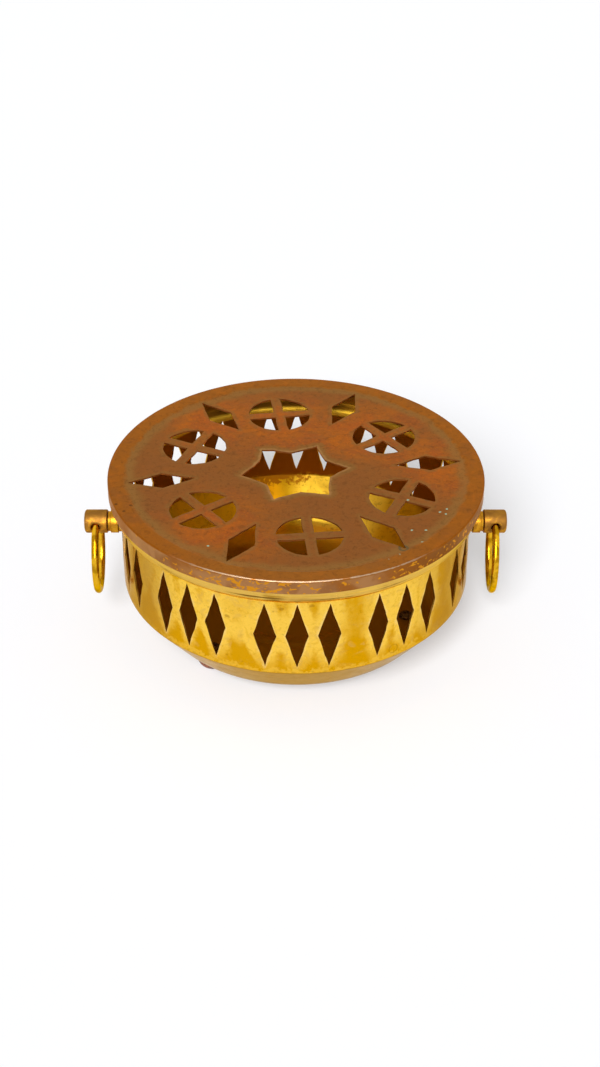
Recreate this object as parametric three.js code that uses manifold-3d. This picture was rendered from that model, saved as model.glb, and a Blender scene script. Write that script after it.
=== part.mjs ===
// A pierced brass and copper warmer: a lift-off copper lid with a star, wheels and rhombi cut through it,
// a brass bowl with diamond windows, two lugs that carry swinging rings, and three screwed-on feet.
// Millimetres, +Z up. The feet stand on z = 0, the bowl's axis is the Z axis and the lugs lie on the X axis.

import * as THREE from 'three';
import { mergeVertices } from 'three/addons/utils/BufferGeometryUtils.js';
import Module from 'manifold-3d';

const wasm = await Module();
wasm.setup();

// Fits
const seatGap = 0.3; // between two pieces that rest on each other
const boreGap = 0.35; // around a screw in its hole
const neckClearance = 1.2; // between the lid's skirt and the bowl's neck
const ringClearance = 0.35; // around the ring's wire in the lug's hole

// Lid
const lidDiameter = 220;
const lidSheet = 1;
const skirtDepth = 8.4; // from the top of the lid down
const lidEdgeRadius = 1.8;
const rimBandWidth = 8.5; // the raised flat band round the edge
const dishDepth = 0.6; // how far the middle lies below the rim band
const dishSlope = 2.5; // radial run of the step between them
const lidTurn = 7; // degrees that the loose lid is turned on the bowl

// Openings in the lid
const patternCount = 6; // wheels, and as many rhombi between them
const starTipRadius = 31.5;
const starNotchRadius = 21.5;
const starHollow = 1.2; // how far each side of the star curves in
const wheelRadius = 18.4;
const wheelToStar = 16.4; // metal between a wheel and the circle of the star's tips
const spokeWidth = 6;
const rhombusLength = 38;
const rhombusWidth = 15.2;
const rhombusTipMargin = 1; // metal between a rhombus and the edge of the dish
const wheelDrift = [-0.5, 1.5, -1.5, 0, -1, -1]; // degrees that each hand-cut wheel is off its even place
const rhombusDrift = [0, 0.5, -1, 0, 0, 0.5]; // the same for the rhombi

// Bowl
const bowlSheet = 1;
const neckHeight = 12.9; // straight neck inside the lid's skirt
const shoulderDrop = 5.3;
const shoulderStep = 4.4; // how much narrower the wall is than the neck
const wallHeight = 48.8; // from the shoulder down to the crease
const baseDrop = 23.8; // sloping base below the crease
const baseInset = 19.1;
const bottomDrop = 1.9; // rounded turn from the slope into the flat bottom
const bottomInset = 6.3;
const floorRecessRadius = 40; // shallow round recess in the middle of the floor
const floorRecessDepth = 0.8;
const floorRecessSlope = 1.5;

// Diamond windows
const windowGroups = 10;
const windowsPerGroup = 3;
const windowWidth = 12.9;
const windowBar = 5.15; // metal between two windows of a group at their widest
const windowTopMargin = 1;
const windowBottomMargin = 4.3;

// Lugs and rings
const lugDrop = 16.1; // from the top of the wall down to the lugs' axis
const outerWasherDiameter = 12.4;
const outerWasherThickness = 1.4;
const collarFlangeDiameter = 13.8;
const collarFlangeWidth = 4.6;
const collarNeckDiameter = 12;
const collarNeckWidth = 1.6;
const bossDiameter = 14;
const bossLength = 14;
const bossChamfer = 0.9;
const bossDome = 0.7; // height of the slightly domed outer end
const holeMouthChamfer = 0.25;
const ringDiameter = 50; // over the wire
const wireDiameter = 4.3;

// Screws through the wall into the bosses
const lugScrewDiameter = 5;
const lugScrewHeadDiameter = 9;
const lugScrewHeadHeight = 2.6;
const lugScrewGrip = 3.2; // length that bites into the boss
const innerWasherDiameter = 13;
const innerWasherThickness = 1.2;

// Feet and their screws
const footCount = 3;
const firstFootAngle = -135; // degrees from +X
const footEdgeMargin = 8.7; // from the edge of the flat bottom in to a foot's middle
const footDiameter = 18.8;
const footTopDiameter = 15;
const footBottomDiameter = 12.5;
const footHeight = 10; // from the table to the bowl's underside
const footScrewDiameter = 3.8;
const footScrewHeadDiameter = 8;
const footScrewHeadHeight = 2;
const footScrewLength = 8.6; // below the head
const slotWidth = 1.2;
const slotDepth = 0.9;

// Fineness of the curves
const bowlSegments = 80;
const lidSegments = 80;
const turnedSegments = 24;
const screwSegments = 16;
const wireSides = 10;
const ringSegments = 40;

// Places that follow from the sizes
const bottomTop = footHeight + bowlSheet;
const creaseHeight = footHeight + bottomDrop + baseDrop;
const wallTop = creaseHeight + wallHeight;
const neckFoot = wallTop + shoulderDrop;
const rimHeight = neckFoot + neckHeight;
const lidUnderside = rimHeight + seatGap;
const lidTop = lidUnderside + lidSheet;
const lidRadius = lidDiameter / 2;
const neckRadius = lidRadius - lidSheet - neckClearance;
const wallRadius = neckRadius - shoulderStep;
const baseEdgeRadius = wallRadius - baseInset;
const bottomRadius = baseEdgeRadius - bottomInset;
const footCircleRadius = bottomRadius - footEdgeMargin;
const fieldRadius = lidRadius - rimBandWidth - dishSlope;
const lugHeight = wallTop - lugDrop;
const outerWasherFace = wallRadius + seatGap;
const collarFace = outerWasherFace + outerWasherThickness + seatGap;
const bossFace = collarFace + collarFlangeWidth + collarNeckWidth + seatGap;
const ringAxisX = bossFace + bossLength / 2;
const wireRadius = wireDiameter / 2;
const ringMeanRadius = (ringDiameter - wireDiameter) / 2;

// How far the ring's wire bends away from a straight line inside the boss
const wireBend = ringMeanRadius - Math.sqrt(ringMeanRadius ** 2 - (bossDiameter / 2) ** 2);
const ringHoleRadius = wireRadius + wireBend / 2 + ringClearance;

// Materials
function metal(name, color, roughness) {
  return new THREE.MeshStandardMaterial({ name, color, roughness, metalness: 1 });
}

const agedCopper = () => metal('aged_copper', 0xa8622e, 0.45);
const polishedBrass = () => metal('polished_brass', 0xdcaa35, 0.25);
const agedBrass = () => metal('aged_brass', 0xb98a35, 0.42);
const ringBrass = () => metal('ring_brass', 0xd6a021, 0.22);
const screwBrass = () => metal('screw_brass', 0x8a6428, 0.5);
const darkWood = () => new THREE.MeshStandardMaterial({
  name: 'dark_wood', color: 0x5a2c16, roughness: 0.55, metalness: 0,
});

const degrees = (angle) => THREE.MathUtils.degToRad(angle);
const point = (x, y) => new THREE.Vector2(x, y);

// A geometry with shared corners, and without the flat triangles that a lathe leaves on its axis
function welded(geometry) {
  const bare = geometry.clone();
  bare.deleteAttribute('normal');
  bare.deleteAttribute('uv');
  const merged = mergeVertices(bare, 1e-4);
  const corners = merged.index.array;
  const kept = [];
  for (let i = 0; i < corners.length; i += 3) {
    const [a, b, c] = corners.slice(i, i + 3);
    if (a !== b && b !== c && c !== a) kept.push(a, b, c);
  }
  merged.setIndex(kept);
  return merged;
}

function toSolid(geometry) {
  const closed = welded(geometry);
  return new wasm.Manifold(new wasm.Mesh({
    numProp: 3,
    vertProperties: closed.attributes.position.array,
    triVerts: Uint32Array.from(closed.index.array),
  }));
}

function toGeometry(solid) {
  const mesh = solid.getMesh();
  const geometry = new THREE.BufferGeometry();
  geometry.setAttribute('position', new THREE.BufferAttribute(mesh.vertProperties, 3));
  geometry.setIndex(new THREE.BufferAttribute(mesh.triVerts, 1));
  geometry.computeVertexNormals();
  return geometry;
}

// The blank with every cutter taken away
function cutAway(blank, cutters) {
  const solid = cutters.reduce((body, cutter) => body.subtract(toSolid(cutter)), toSolid(blank));
  return toGeometry(solid);
}

// A solid of revolution about Z: the profile runs anticlockwise, with the radius to the right and z up
function turned(profile, segments) {
  return new THREE.LatheGeometry(profile, segments).rotateX(Math.PI / 2);
}

// A profile that doesn't touch the axis closes on its first point
function turnedRing(profile, segments) {
  return welded(turned([...profile, profile[0].clone()], segments));
}

// Points of an arc about a centre, from one angle to another in degrees
function arc(centreX, centreY, radius, from, to, steps) {
  const points = [];
  for (let i = 0; i <= steps; i += 1) {
    const angle = degrees(from + ((to - from) * i) / steps);
    points.push(point(centreX + radius * Math.cos(angle), centreY + radius * Math.sin(angle)));
  }
  return points;
}

// A line moved to its left by the sheet's thickness, with sharp corners kept sharp
function offsetLine(line, distance) {
  const normals = line.slice(1).map((end, i) => {
    const along = end.clone().sub(line[i]).normalize();
    return point(-along.y, along.x);
  });
  return line.map((corner, i) => {
    const before = normals[Math.max(i - 1, 0)];
    const after = normals[Math.min(i, normals.length - 1)];
    const shift = before.clone().add(after).multiplyScalar(distance / (1 + before.dot(after)));
    return corner.clone().add(shift);
  });
}

// A low domed end on the axis, from its rim up to its middle
function dome(radius, low, high) {
  return new THREE.QuadraticBezierCurve(point(radius, low), point(radius * 0.6, high), point(0, high)).getPoints(3);
}

// A prism of a flat outline, standing between two heights
function prism(shape, bottom, top, curveSegments) {
  const options = { depth: top - bottom, bevelEnabled: false, curveSegments };
  return new THREE.ExtrudeGeometry(shape, options).translate(0, 0, bottom);
}

function namedMesh(name, geometry, material) {
  const mesh = new THREE.Mesh(geometry, material);
  mesh.name = name;
  return mesh;
}

// Lid: a flat disc with a raised rim band, a rounded edge and a skirt turned down
function lidBlank() {
  const bandRadius = fieldRadius + dishSlope;
  const edge = arc(lidRadius - lidEdgeRadius, lidTop - lidEdgeRadius, lidEdgeRadius, 0, 90, 3);
  const outside = [
    point(lidRadius, lidTop - skirtDepth),
    ...edge,
    point(bandRadius, lidTop),
    point(fieldRadius, lidTop - dishDepth),
    point(0, lidTop - dishDepth),
  ];
  return turned([...offsetLine(outside, lidSheet).reverse(), ...outside], lidSegments);
}

function lidCutter(shape, curveSegments) {
  return prism(shape, lidUnderside - dishDepth - lidSheet, lidTop + lidSheet, curveSegments);
}

// Six-pointed star whose sides are drawn in slightly
function starShape() {
  const corners = [];
  for (let i = 0; i < 2 * patternCount; i += 1) {
    const radius = i % 2 === 0 ? starTipRadius : starNotchRadius;
    const angle = (Math.PI * i) / patternCount;
    corners.push(point(radius * Math.cos(angle), radius * Math.sin(angle)));
  }
  const shape = new THREE.Shape();
  shape.moveTo(corners[0].x, corners[0].y);
  corners.forEach((corner, i) => {
    const next = corners[(i + 1) % corners.length];
    const middle = corner.clone().add(next).divideScalar(2);
    middle.setLength(middle.length() - 2 * starHollow);
    shape.quadraticCurveTo(middle.x, middle.y, next.x, next.y);
  });
  return shape;
}

// One quarter of a wheel, between two spokes
function quarterShape() {
  const half = spokeWidth / 2;
  const reach = Math.sqrt(wheelRadius ** 2 - half ** 2);
  const start = Math.asin(half / wheelRadius);
  const shape = new THREE.Shape();
  shape.moveTo(half, half);
  shape.lineTo(reach, half);
  shape.absarc(0, 0, wheelRadius, start, Math.PI / 2 - start, false);
  shape.closePath();
  return shape;
}

function rhombusShape() {
  const shape = new THREE.Shape();
  shape.moveTo(rhombusLength / 2, 0);
  shape.lineTo(0, rhombusWidth / 2);
  shape.lineTo(-rhombusLength / 2, 0);
  shape.lineTo(0, -rhombusWidth / 2);
  shape.closePath();
  return shape;
}

function wheelCutters(angle) {
  const centre = starTipRadius + wheelToStar + wheelRadius;
  const quarters = [];
  for (let quarter = 0; quarter < 4; quarter += 1) {
    const cutter = lidCutter(quarterShape(), 6).rotateZ((quarter * Math.PI) / 2);
    quarters.push(cutter.translate(centre, 0, 0).rotateZ(degrees(angle)));
  }
  return quarters;
}

function rhombusCutter(angle) {
  const centre = fieldRadius - rhombusTipMargin - rhombusLength / 2;
  return lidCutter(rhombusShape(), 1).translate(centre, 0, 0).rotateZ(degrees(angle));
}

function makeLid() {
  const step = 360 / patternCount;
  const cutters = [lidCutter(starShape(), 3).rotateZ(degrees(lidTurn))];
  for (let i = 0; i < patternCount; i += 1) {
    const place = lidTurn + i * step;
    cutters.push(rhombusCutter(place + rhombusDrift[i]));
    cutters.push(...wheelCutters(place + step / 2 + wheelDrift[i]));
  }
  return namedMesh('lid', cutAway(lidBlank(), cutters), agedCopper());
}

// Bowl: one spun shell with a flat bottom, a sloping base, an upright wall, a shoulder and a neck
function bowlBlank() {
  const baseEdge = point(baseEdgeRadius, footHeight + bottomDrop);
  const turn = new THREE.QuadraticBezierCurve(
    point(bottomRadius, footHeight),
    point((bottomRadius + baseEdgeRadius) / 2, footHeight),
    baseEdge,
  );
  const shoulder = new THREE.CubicBezierCurve(
    point(wallRadius, wallTop),
    point(wallRadius, wallTop + shoulderDrop / 2),
    point(neckRadius, neckFoot - shoulderDrop / 2),
    point(neckRadius, neckFoot),
  );
  const outside = [
    point(0, footHeight - floorRecessDepth),
    point(floorRecessRadius, footHeight - floorRecessDepth),
    point(floorRecessRadius + floorRecessSlope, footHeight),
    ...turn.getPoints(2),
    point(wallRadius, creaseHeight),
    ...shoulder.getPoints(4),
    point(neckRadius, rimHeight),
  ];
  return turned([...outside, ...offsetLine(outside, bowlSheet).reverse()], bowlSegments);
}

function windowShape() {
  const height = wallHeight - windowTopMargin - windowBottomMargin;
  const shape = new THREE.Shape();
  shape.moveTo(windowWidth / 2, 0);
  shape.lineTo(0, height / 2);
  shape.lineTo(-windowWidth / 2, 0);
  shape.lineTo(0, -height / 2);
  shape.closePath();
  return shape;
}

// A diamond prism through the wall, pointing out along the given angle
function windowCutter(angle) {
  const middle = (wallTop - windowTopMargin + creaseHeight + windowBottomMargin) / 2;
  const cutter = prism(windowShape(), -(wallRadius + 3 * bowlSheet), -(wallRadius - 4 * bowlSheet), 1);
  return cutter.rotateX(Math.PI / 2).rotateZ(Math.PI).translate(0, 0, middle).rotateZ(degrees(angle - 90));
}

function windowAngles() {
  const pitch = THREE.MathUtils.radToDeg((windowWidth + windowBar) / wallRadius);
  const angles = [];
  for (let group = 0; group < windowGroups; group += 1) {
    for (let i = 0; i < windowsPerGroup; i += 1) {
      const offset = i - (windowsPerGroup - 1) / 2;
      angles.push(((group + 0.5) * 360) / windowGroups + offset * pitch);
    }
  }
  return angles;
}

function footPlaces() {
  const places = [];
  for (let i = 0; i < footCount; i += 1) {
    const angle = degrees(firstFootAngle + (i * 360) / footCount);
    places.push(point(footCircleRadius * Math.cos(angle), footCircleRadius * Math.sin(angle)));
  }
  return places;
}

// A round drill of one diameter between two heights
function drill(diameter, bottom, top) {
  const radius = diameter / 2;
  return turned([point(0, bottom), point(radius, bottom), point(radius, top), point(0, top)], screwSegments);
}

function makeBowl() {
  const lugDrillLength = 6 * bowlSheet;
  const lugDrill = drill(lugScrewDiameter + 2 * boreGap, -lugDrillLength, lugDrillLength).rotateY(Math.PI / 2);
  const cutters = windowAngles().map(windowCutter);
  for (const side of [1, -1]) {
    cutters.push(lugDrill.clone().translate(side * wallRadius, 0, lugHeight));
  }
  for (const place of footPlaces()) {
    const hole = drill(footScrewDiameter + 2 * boreGap, footHeight - bowlSheet, bottomTop + bowlSheet);
    cutters.push(hole.translate(place.x, place.y, 0));
  }
  return namedMesh('bowl', cutAway(bowlBlank(), cutters), polishedBrass());
}

// A slotted round-head screw: its head stands on z = 0 and its shank runs down
function slottedScrew(diameter, length, headDiameter, headHeight) {
  const shank = diameter / 2;
  const head = headDiameter / 2;
  const profile = [
    point(0, -length),
    point(shank * 0.5, -length),
    point(shank, -length + shank),
    point(shank, 0),
    point(head, 0),
    ...dome(head, headHeight / 3, headHeight),
  ];
  const slot = new THREE.BoxGeometry(headDiameter * 1.2, slotWidth, 2 * slotDepth).translate(0, 0, headHeight);
  return cutAway(turned(profile, screwSegments), [slot]);
}

// A flat washer standing on z = 0
function washer(diameter, thickness, bore) {
  return turnedRing([
    point(bore / 2, 0),
    point(diameter / 2, 0),
    point(diameter / 2, thickness),
    point(bore / 2, thickness),
  ], turnedSegments);
}

// The stepped collar between the wall and the boss, standing on its flange
function collar() {
  const bore = lugScrewDiameter / 2 + boreGap;
  const height = collarFlangeWidth + collarNeckWidth;
  return turnedRing([
    point(bore, 0),
    point(collarFlangeDiameter / 2, 0),
    point(collarFlangeDiameter / 2, collarFlangeWidth),
    point(collarNeckDiameter / 2, collarFlangeWidth),
    point(collarNeckDiameter / 2, height),
    point(bore, height),
  ], turnedSegments);
}

// The hole that the ring swings in, along Y, with a chamfer at each mouth
function ringHoleCutter() {
  const mouth = bossDiameter / 2;
  const wide = ringHoleRadius + 2 * holeMouthChamfer;
  const profile = [
    point(0, -mouth - holeMouthChamfer),
    point(wide, -mouth - holeMouthChamfer),
    point(ringHoleRadius, -mouth + holeMouthChamfer),
    point(ringHoleRadius, mouth - holeMouthChamfer),
    point(wide, mouth + holeMouthChamfer),
    point(0, mouth + holeMouthChamfer),
  ];
  return turned(profile, turnedSegments).rotateX(Math.PI / 2).translate(0, 0, bossLength / 2);
}

// The boss stands on its inner face, with its domed end up
function boss() {
  const radius = bossDiameter / 2;
  const blank = turned([
    point(0, 0),
    point(radius - bossChamfer / 2, 0),
    point(radius, bossChamfer / 2),
    point(radius, bossLength - bossDome - bossChamfer),
    ...dome(radius - bossChamfer, bossLength - bossDome, bossLength),
  ], turnedSegments);
  const screwHole = drill(lugScrewDiameter + 2 * boreGap, -1, lugScrewGrip + seatGap);
  return cutAway(blank, [ringHoleCutter(), screwHole]);
}

// A ring of round wire in the YZ plane, hanging from the origin
function ring() {
  const section = arc(ringMeanRadius, 0, wireRadius, 0, 360 - 360 / wireSides, wireSides - 1);
  return turnedRing(section, ringSegments)
    .rotateY(Math.PI / 2)
    .translate(0, 0, wireBend / 2 - ringMeanRadius);
}

// The pieces of one lug, built along +X and turned to its own side of the bowl
function makeLug(sideName, turn) {
  const group = new THREE.Group();
  const bore = lugScrewDiameter + 2 * boreGap;
  const wallInside = wallRadius - bowlSheet;
  const innerWasherFace = Math.sqrt(wallInside ** 2 - (innerWasherDiameter / 2) ** 2) - seatGap;
  const headFace = innerWasherFace - innerWasherThickness - seatGap;
  const alongX = new THREE.Group();
  alongX.rotation.y = Math.PI / 2;
  const place = (name, geometry, material, x) => {
    const mesh = namedMesh(`${sideName}_${name}`, geometry, material);
    mesh.position.z = x;
    alongX.add(mesh);
  };
  place('outer_washer', washer(outerWasherDiameter, outerWasherThickness, bore), agedBrass(), outerWasherFace);
  place('collar', collar(), agedBrass(), collarFace);
  place('boss', boss(), agedBrass(), bossFace);
  const inner = washer(innerWasherDiameter, innerWasherThickness, bore);
  place('inner_washer', inner, agedBrass(), innerWasherFace - innerWasherThickness);
  const screwLength = bossFace + lugScrewGrip - headFace;
  const screw = slottedScrew(lugScrewDiameter, screwLength, lugScrewHeadDiameter, lugScrewHeadHeight);
  place('lug_screw', screw.rotateX(Math.PI), screwBrass(), headFace);
  const ringMesh = namedMesh(`${sideName}_ring`, ring(), ringBrass());
  ringMesh.position.x = ringAxisX;
  group.add(alongX, ringMesh);
  group.position.z = lugHeight;
  group.rotation.z = degrees(turn);
  return group;
}

// A turned bun foot: its side is part of an ellipse, and a pilot hole takes its screw
function foot() {
  const top = footHeight - seatGap;
  const pilot = footScrewDiameter / 2 + boreGap;
  const pilotEnd = bottomTop - footScrewLength;
  const widest = footDiameter / 2;
  const low = Math.acos(footBottomDiameter / footDiameter);
  const high = Math.acos(footTopDiameter / footDiameter);
  const bulge = top / (Math.sin(low) + Math.sin(high));
  const side = new THREE.EllipseCurve(0, bulge * Math.sin(low), widest, bulge, -low, high);
  const profile = [
    point(0, 0),
    ...side.getPoints(5),
    point(pilot, top),
    point(pilot, pilotEnd),
    point(0, pilotEnd),
  ];
  return welded(turned(profile, turnedSegments));
}

function makeFeet() {
  const group = new THREE.Group();
  const names = ['left', 'right', 'back'];
  footPlaces().forEach((place, i) => {
    const standing = namedMesh(`${names[i]}_foot`, foot(), darkWood());
    standing.position.set(place.x, place.y, 0);
    const screwBody = slottedScrew(footScrewDiameter, footScrewLength, footScrewHeadDiameter, footScrewHeadHeight);
    const screw = namedMesh(`${names[i]}_foot_screw`, screwBody, screwBrass());
    screw.position.set(place.x, place.y, bottomTop + seatGap);
    group.add(standing, screw);
  });
  return group;
}

const warmer = new THREE.Group();
warmer.add(makeLid(), makeBowl(), makeLug('right', 0), makeLug('left', 180), makeFeet());

export default warmer;
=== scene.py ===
"""Looks of a pierced brass and copper warmer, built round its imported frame.

Every piece is modelled in millimetres, brought to metres when it is finished, and stands where the frame's
node of the same name stands. The bowl's axis is Z, its feet stand on Z = 0 and the two lugs lie on X.
"""

import logging
import math
from collections.abc import Callable, Iterable
from dataclasses import dataclass
from enum import Enum
from typing import NamedTuple

import bmesh
import bpy
from mathutils import Matrix, Vector, kdtree, noise


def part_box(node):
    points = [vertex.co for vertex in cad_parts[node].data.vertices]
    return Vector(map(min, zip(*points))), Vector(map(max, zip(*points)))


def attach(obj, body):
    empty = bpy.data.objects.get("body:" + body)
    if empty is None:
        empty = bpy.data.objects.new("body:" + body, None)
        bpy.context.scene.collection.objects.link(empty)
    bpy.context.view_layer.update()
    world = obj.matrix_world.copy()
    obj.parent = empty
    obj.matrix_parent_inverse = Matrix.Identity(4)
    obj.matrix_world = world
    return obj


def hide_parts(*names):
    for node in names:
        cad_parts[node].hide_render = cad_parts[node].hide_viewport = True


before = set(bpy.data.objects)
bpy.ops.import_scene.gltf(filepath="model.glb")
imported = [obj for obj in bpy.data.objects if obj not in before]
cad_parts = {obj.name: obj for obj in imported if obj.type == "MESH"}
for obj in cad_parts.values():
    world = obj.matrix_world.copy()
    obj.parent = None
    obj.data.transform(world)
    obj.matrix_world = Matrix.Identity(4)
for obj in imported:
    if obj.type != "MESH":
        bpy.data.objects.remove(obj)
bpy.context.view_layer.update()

LOG = logging.getLogger("warmer")
MM = 0.001
# Points of a spun surface closer together than this are one point, as at its poles and its seam
SAME_POINT = 1e-4
# Points that a cut leaves closer together than this are merged before the edges are rounded
CLOSE_POINTS = 0.03
# Edges shorter than this are taken out of a finished piece
SHORT_EDGE = 0.0005
# Edges sharper than this many degrees stay crisp
CRISP_ANGLE = 32
# Faces of a sheet that look in or out less than this lie in a cut
CUT_TILT = 0.25
# Stands a mesh up: its X then runs along Y, its Y up Z, and its Z along X
UPRIGHT = Matrix(((0, 0, 1, 0), (1, 0, 0, 0), (0, 1, 0, 0), (0, 0, 0, 1)))
FEET = ("left", "right", "back")

Point = tuple[float, float]
Triple = tuple[float, float, float]
Mesh = bmesh.types.BMesh
Socket = bpy.types.NodeSocket


class Side(Enum):
    """The two ends of the lug axis, with the turn in degrees from +X."""

    RIGHT = 0
    LEFT = 180


class Surface(Enum):
    """Which face of a sheet a mesh face belongs to, as the number kept in the face attribute."""

    OUTSIDE = 0.0
    CUT = 0.5
    INSIDE = 1.0


# Shapes

def node_box(node: str) -> tuple[Vector, Vector]:
    """Gives the lowest and the highest corner of a node of the frame, in millimetres."""
    low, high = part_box(node)
    return low / MM, high / MM


def arc(centre: Point, radius: float, start: float, end: float, steps: int) -> list[Point]:
    """Gives points along an arc.

    Args:
        centre: Middle of the arc.
        radius: Its radius.
        start: First angle in degrees, anticlockwise from the first axis.
        end: Last angle in degrees.
        steps: How many straight steps replace the arc.

    Returns:
        The points, both ends included.
    """
    angles = (math.radians(start + (end - start) * i / steps) for i in range(steps + 1))
    return [(centre[0] + radius * math.cos(a), centre[1] + radius * math.sin(a)) for a in angles]


def densified(line: list[Point], spacing: float) -> list[Point]:
    """Adds points to a line so that no step is longer than the spacing.

    Args:
        line: Corners of the line.
        spacing: Longest step.

    Returns:
        The corners with points between them.
    """
    dense = [line[0]]
    for (x0, y0), (x1, y1) in zip(line, line[1:]):
        steps = max(1, math.ceil(math.hypot(x1 - x0, y1 - y0) / spacing))
        dense += [(x0 + (x1 - x0) * i / steps, y0 + (y1 - y0) * i / steps) for i in range(1, steps + 1)]
    return dense


def turned(outline: Iterable[Point], angle: float) -> list[Point]:
    """Turns a flat outline round the origin by an angle in degrees."""
    turn = Matrix.Rotation(math.radians(angle), 2)
    return [tuple(turn @ Vector(point)) for point in outline]


def shifted(outline: Iterable[Point], reach: float) -> list[Point]:
    """Moves a flat outline along its first axis."""
    return [(x + reach, y) for x, y in outline]


def hand_cut(outline: list[Point], spacing: float, wobble: float, seed: float = 0) -> list[Point]:
    """Gives a closed outline the slight unevenness that a hand-held saw and file leave, 5 mm a stroke.

    Args:
        outline: Corners of the outline.
        spacing: Longest step between its new points.
        wobble: How far its line wanders in all.
        seed: Picks another unevenness for another opening.

    Returns:
        The uneven outline.
    """
    stroke = 5.0
    uneven = []
    # The noise is 0 at whole numbers, so it is read between them, and at two depths for the two ways
    for x, y in densified(outline + outline[:1], spacing)[:-1]:
        across = noise.noise((x / stroke, y / stroke, seed + 0.5))
        along = noise.noise((x / stroke, y / stroke, seed + 20.5))
        uneven.append((x + wobble * across, y + wobble * along))
    return uneven


def smooth_step(start: Point, end: Point, steps: int) -> list[Point]:
    """Gives an S-shaped step that leaves and arrives upright.

    Args:
        start: First point, as radius and height.
        end: Last point.
        steps: How many straight steps replace the curve.

    Returns:
        The points, both ends included.
    """
    points = []
    for i in range(steps + 1):
        t = i / steps
        share = t * t * (3 - 2 * t)
        points.append((start[0] + (end[0] - start[0]) * share, start[1] + (end[1] - start[1]) * t))
    return points


def spun(profile: list[Point], steps: int) -> Mesh:
    """Spins a profile of radius and height round Z.

    Args:
        profile: Points of the profile; where its first point is its last, the profile is closed.
        steps: How many steps a full turn has.

    Returns:
        The spun surface, with its poles and its seam merged.
    """
    mesh = bmesh.new()
    closed = profile[0] == profile[-1]
    verts = [mesh.verts.new((r, 0, z)) for r, z in (profile[:-1] if closed else profile)]
    ends = verts[1:] + ([verts[0]] if closed else [])
    edges = [mesh.edges.new(pair) for pair in zip(verts, ends)]
    bmesh.ops.spin(
        mesh, geom=verts + edges, cent=(0, 0, 0), axis=(0, 0, 1), angle=math.tau, steps=steps, use_merge=True,
    )
    bmesh.ops.remove_doubles(mesh, verts=mesh.verts, dist=SAME_POINT)
    bmesh.ops.recalc_face_normals(mesh, faces=mesh.faces)
    return mesh


def sheet_metal(outline: list[Point], thickness: float, steps: int) -> Mesh:
    """Spins an outside outline and gives it the thickness of a sheet, inwards.

    Args:
        outline: Outside of the vessel from its axis outwards, as radius and height.
        thickness: Thickness of the sheet.
        steps: How many steps a full turn has.

    Returns:
        The closed shell.
    """
    mesh = spun(outline, steps)
    mesh.faces.ensure_lookup_table()
    widest = max(mesh.faces, key=lambda face: face.calc_center_median().xy.length)
    if widest.normal.dot(widest.calc_center_median() * Vector((1, 1, 0))) < 0:
        bmesh.ops.reverse_faces(mesh, faces=mesh.faces)
    bmesh.ops.solidify(mesh, geom=mesh.faces[:], thickness=thickness)
    return mesh


def prism(outline: Iterable[Point], low: float, high: float) -> Mesh:
    """Makes a straight prism of a flat outline.

    Args:
        outline: Corners in the XY plane.
        low: Height of its foot.
        high: Height of its top.

    Returns:
        The closed prism.
    """
    mesh = bmesh.new()
    foot = mesh.faces.new([mesh.verts.new((x, y, low)) for x, y in outline])
    grown = bmesh.ops.extrude_face_region(mesh, geom=[foot])
    top = [item for item in grown["geom"] if isinstance(item, bmesh.types.BMVert)]
    bmesh.ops.translate(mesh, verts=top, vec=(0, 0, high - low))
    bmesh.ops.recalc_face_normals(mesh, faces=mesh.faces)
    return mesh


def drill(radius: float, low: float, high: float, sides: int = 24) -> Mesh:
    """Makes the upright rod that cuts a round hole."""
    return prism(arc((0, 0), radius, 0, 360 - 360 / sides, sides - 1), low, high)


def moved(mesh: Mesh, *turns: Matrix) -> Mesh:
    """Applies transforms to a mesh, the last one first, and gives it back.

    Args:
        mesh: Mesh to change.
        turns: The transforms.

    Returns:
        The same mesh.
    """
    matrix = Matrix.Identity(4)
    for turn in turns:
        matrix = matrix @ turn
    bmesh.ops.transform(mesh, matrix=matrix, verts=mesh.verts)
    return mesh


def rotation(degrees: float, axis: str = "Z") -> Matrix:
    """Gives a turn round an axis."""
    return Matrix.Rotation(math.radians(degrees), 4, axis)


def joined(meshes: Iterable[Mesh]) -> Mesh:
    """Puts several meshes into one and frees them.

    Args:
        meshes: The meshes; they are freed.

    Returns:
        One mesh of them all.
    """
    together = bmesh.new()
    for mesh in meshes:
        part = bpy.data.meshes.new("part")
        mesh.to_mesh(part)
        mesh.free()
        together.from_mesh(part)
        bpy.data.meshes.remove(part)
    return together


def as_object(mesh: Mesh, name: str) -> bpy.types.Object:
    """Makes an object of a mesh as it is, and frees the mesh.

    Args:
        mesh: Mesh of the object; it is freed.
        name: Name of the object and of its mesh.

    Returns:
        The object, linked to the scene.
    """
    data = bpy.data.meshes.new(name)
    mesh.to_mesh(data)
    mesh.free()
    made = bpy.data.objects.new(name, data)
    bpy.context.scene.collection.objects.link(made)
    return made


def cut(blank: Mesh, tools: Mesh) -> Mesh:
    """Cuts closed tools out of a closed blank.

    Args:
        blank: Mesh to cut; it is freed.
        tools: Mesh of one or more closed tools that don't meet; it is freed.

    Returns:
        What is left of the blank.
    """
    body = as_object(blank, "blank")
    tool = as_object(tools, "tools")
    boolean = body.modifiers.new("cut", "BOOLEAN")
    boolean.operation = "DIFFERENCE"
    boolean.solver = "EXACT"
    boolean.object = tool
    evaluated = body.evaluated_get(bpy.context.evaluated_depsgraph_get())
    left = bmesh.new()
    left.from_mesh(evaluated.data)
    for spent in (body, tool):
        data = spent.data
        bpy.data.objects.remove(spent)
        bpy.data.meshes.remove(data)
    return left


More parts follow.
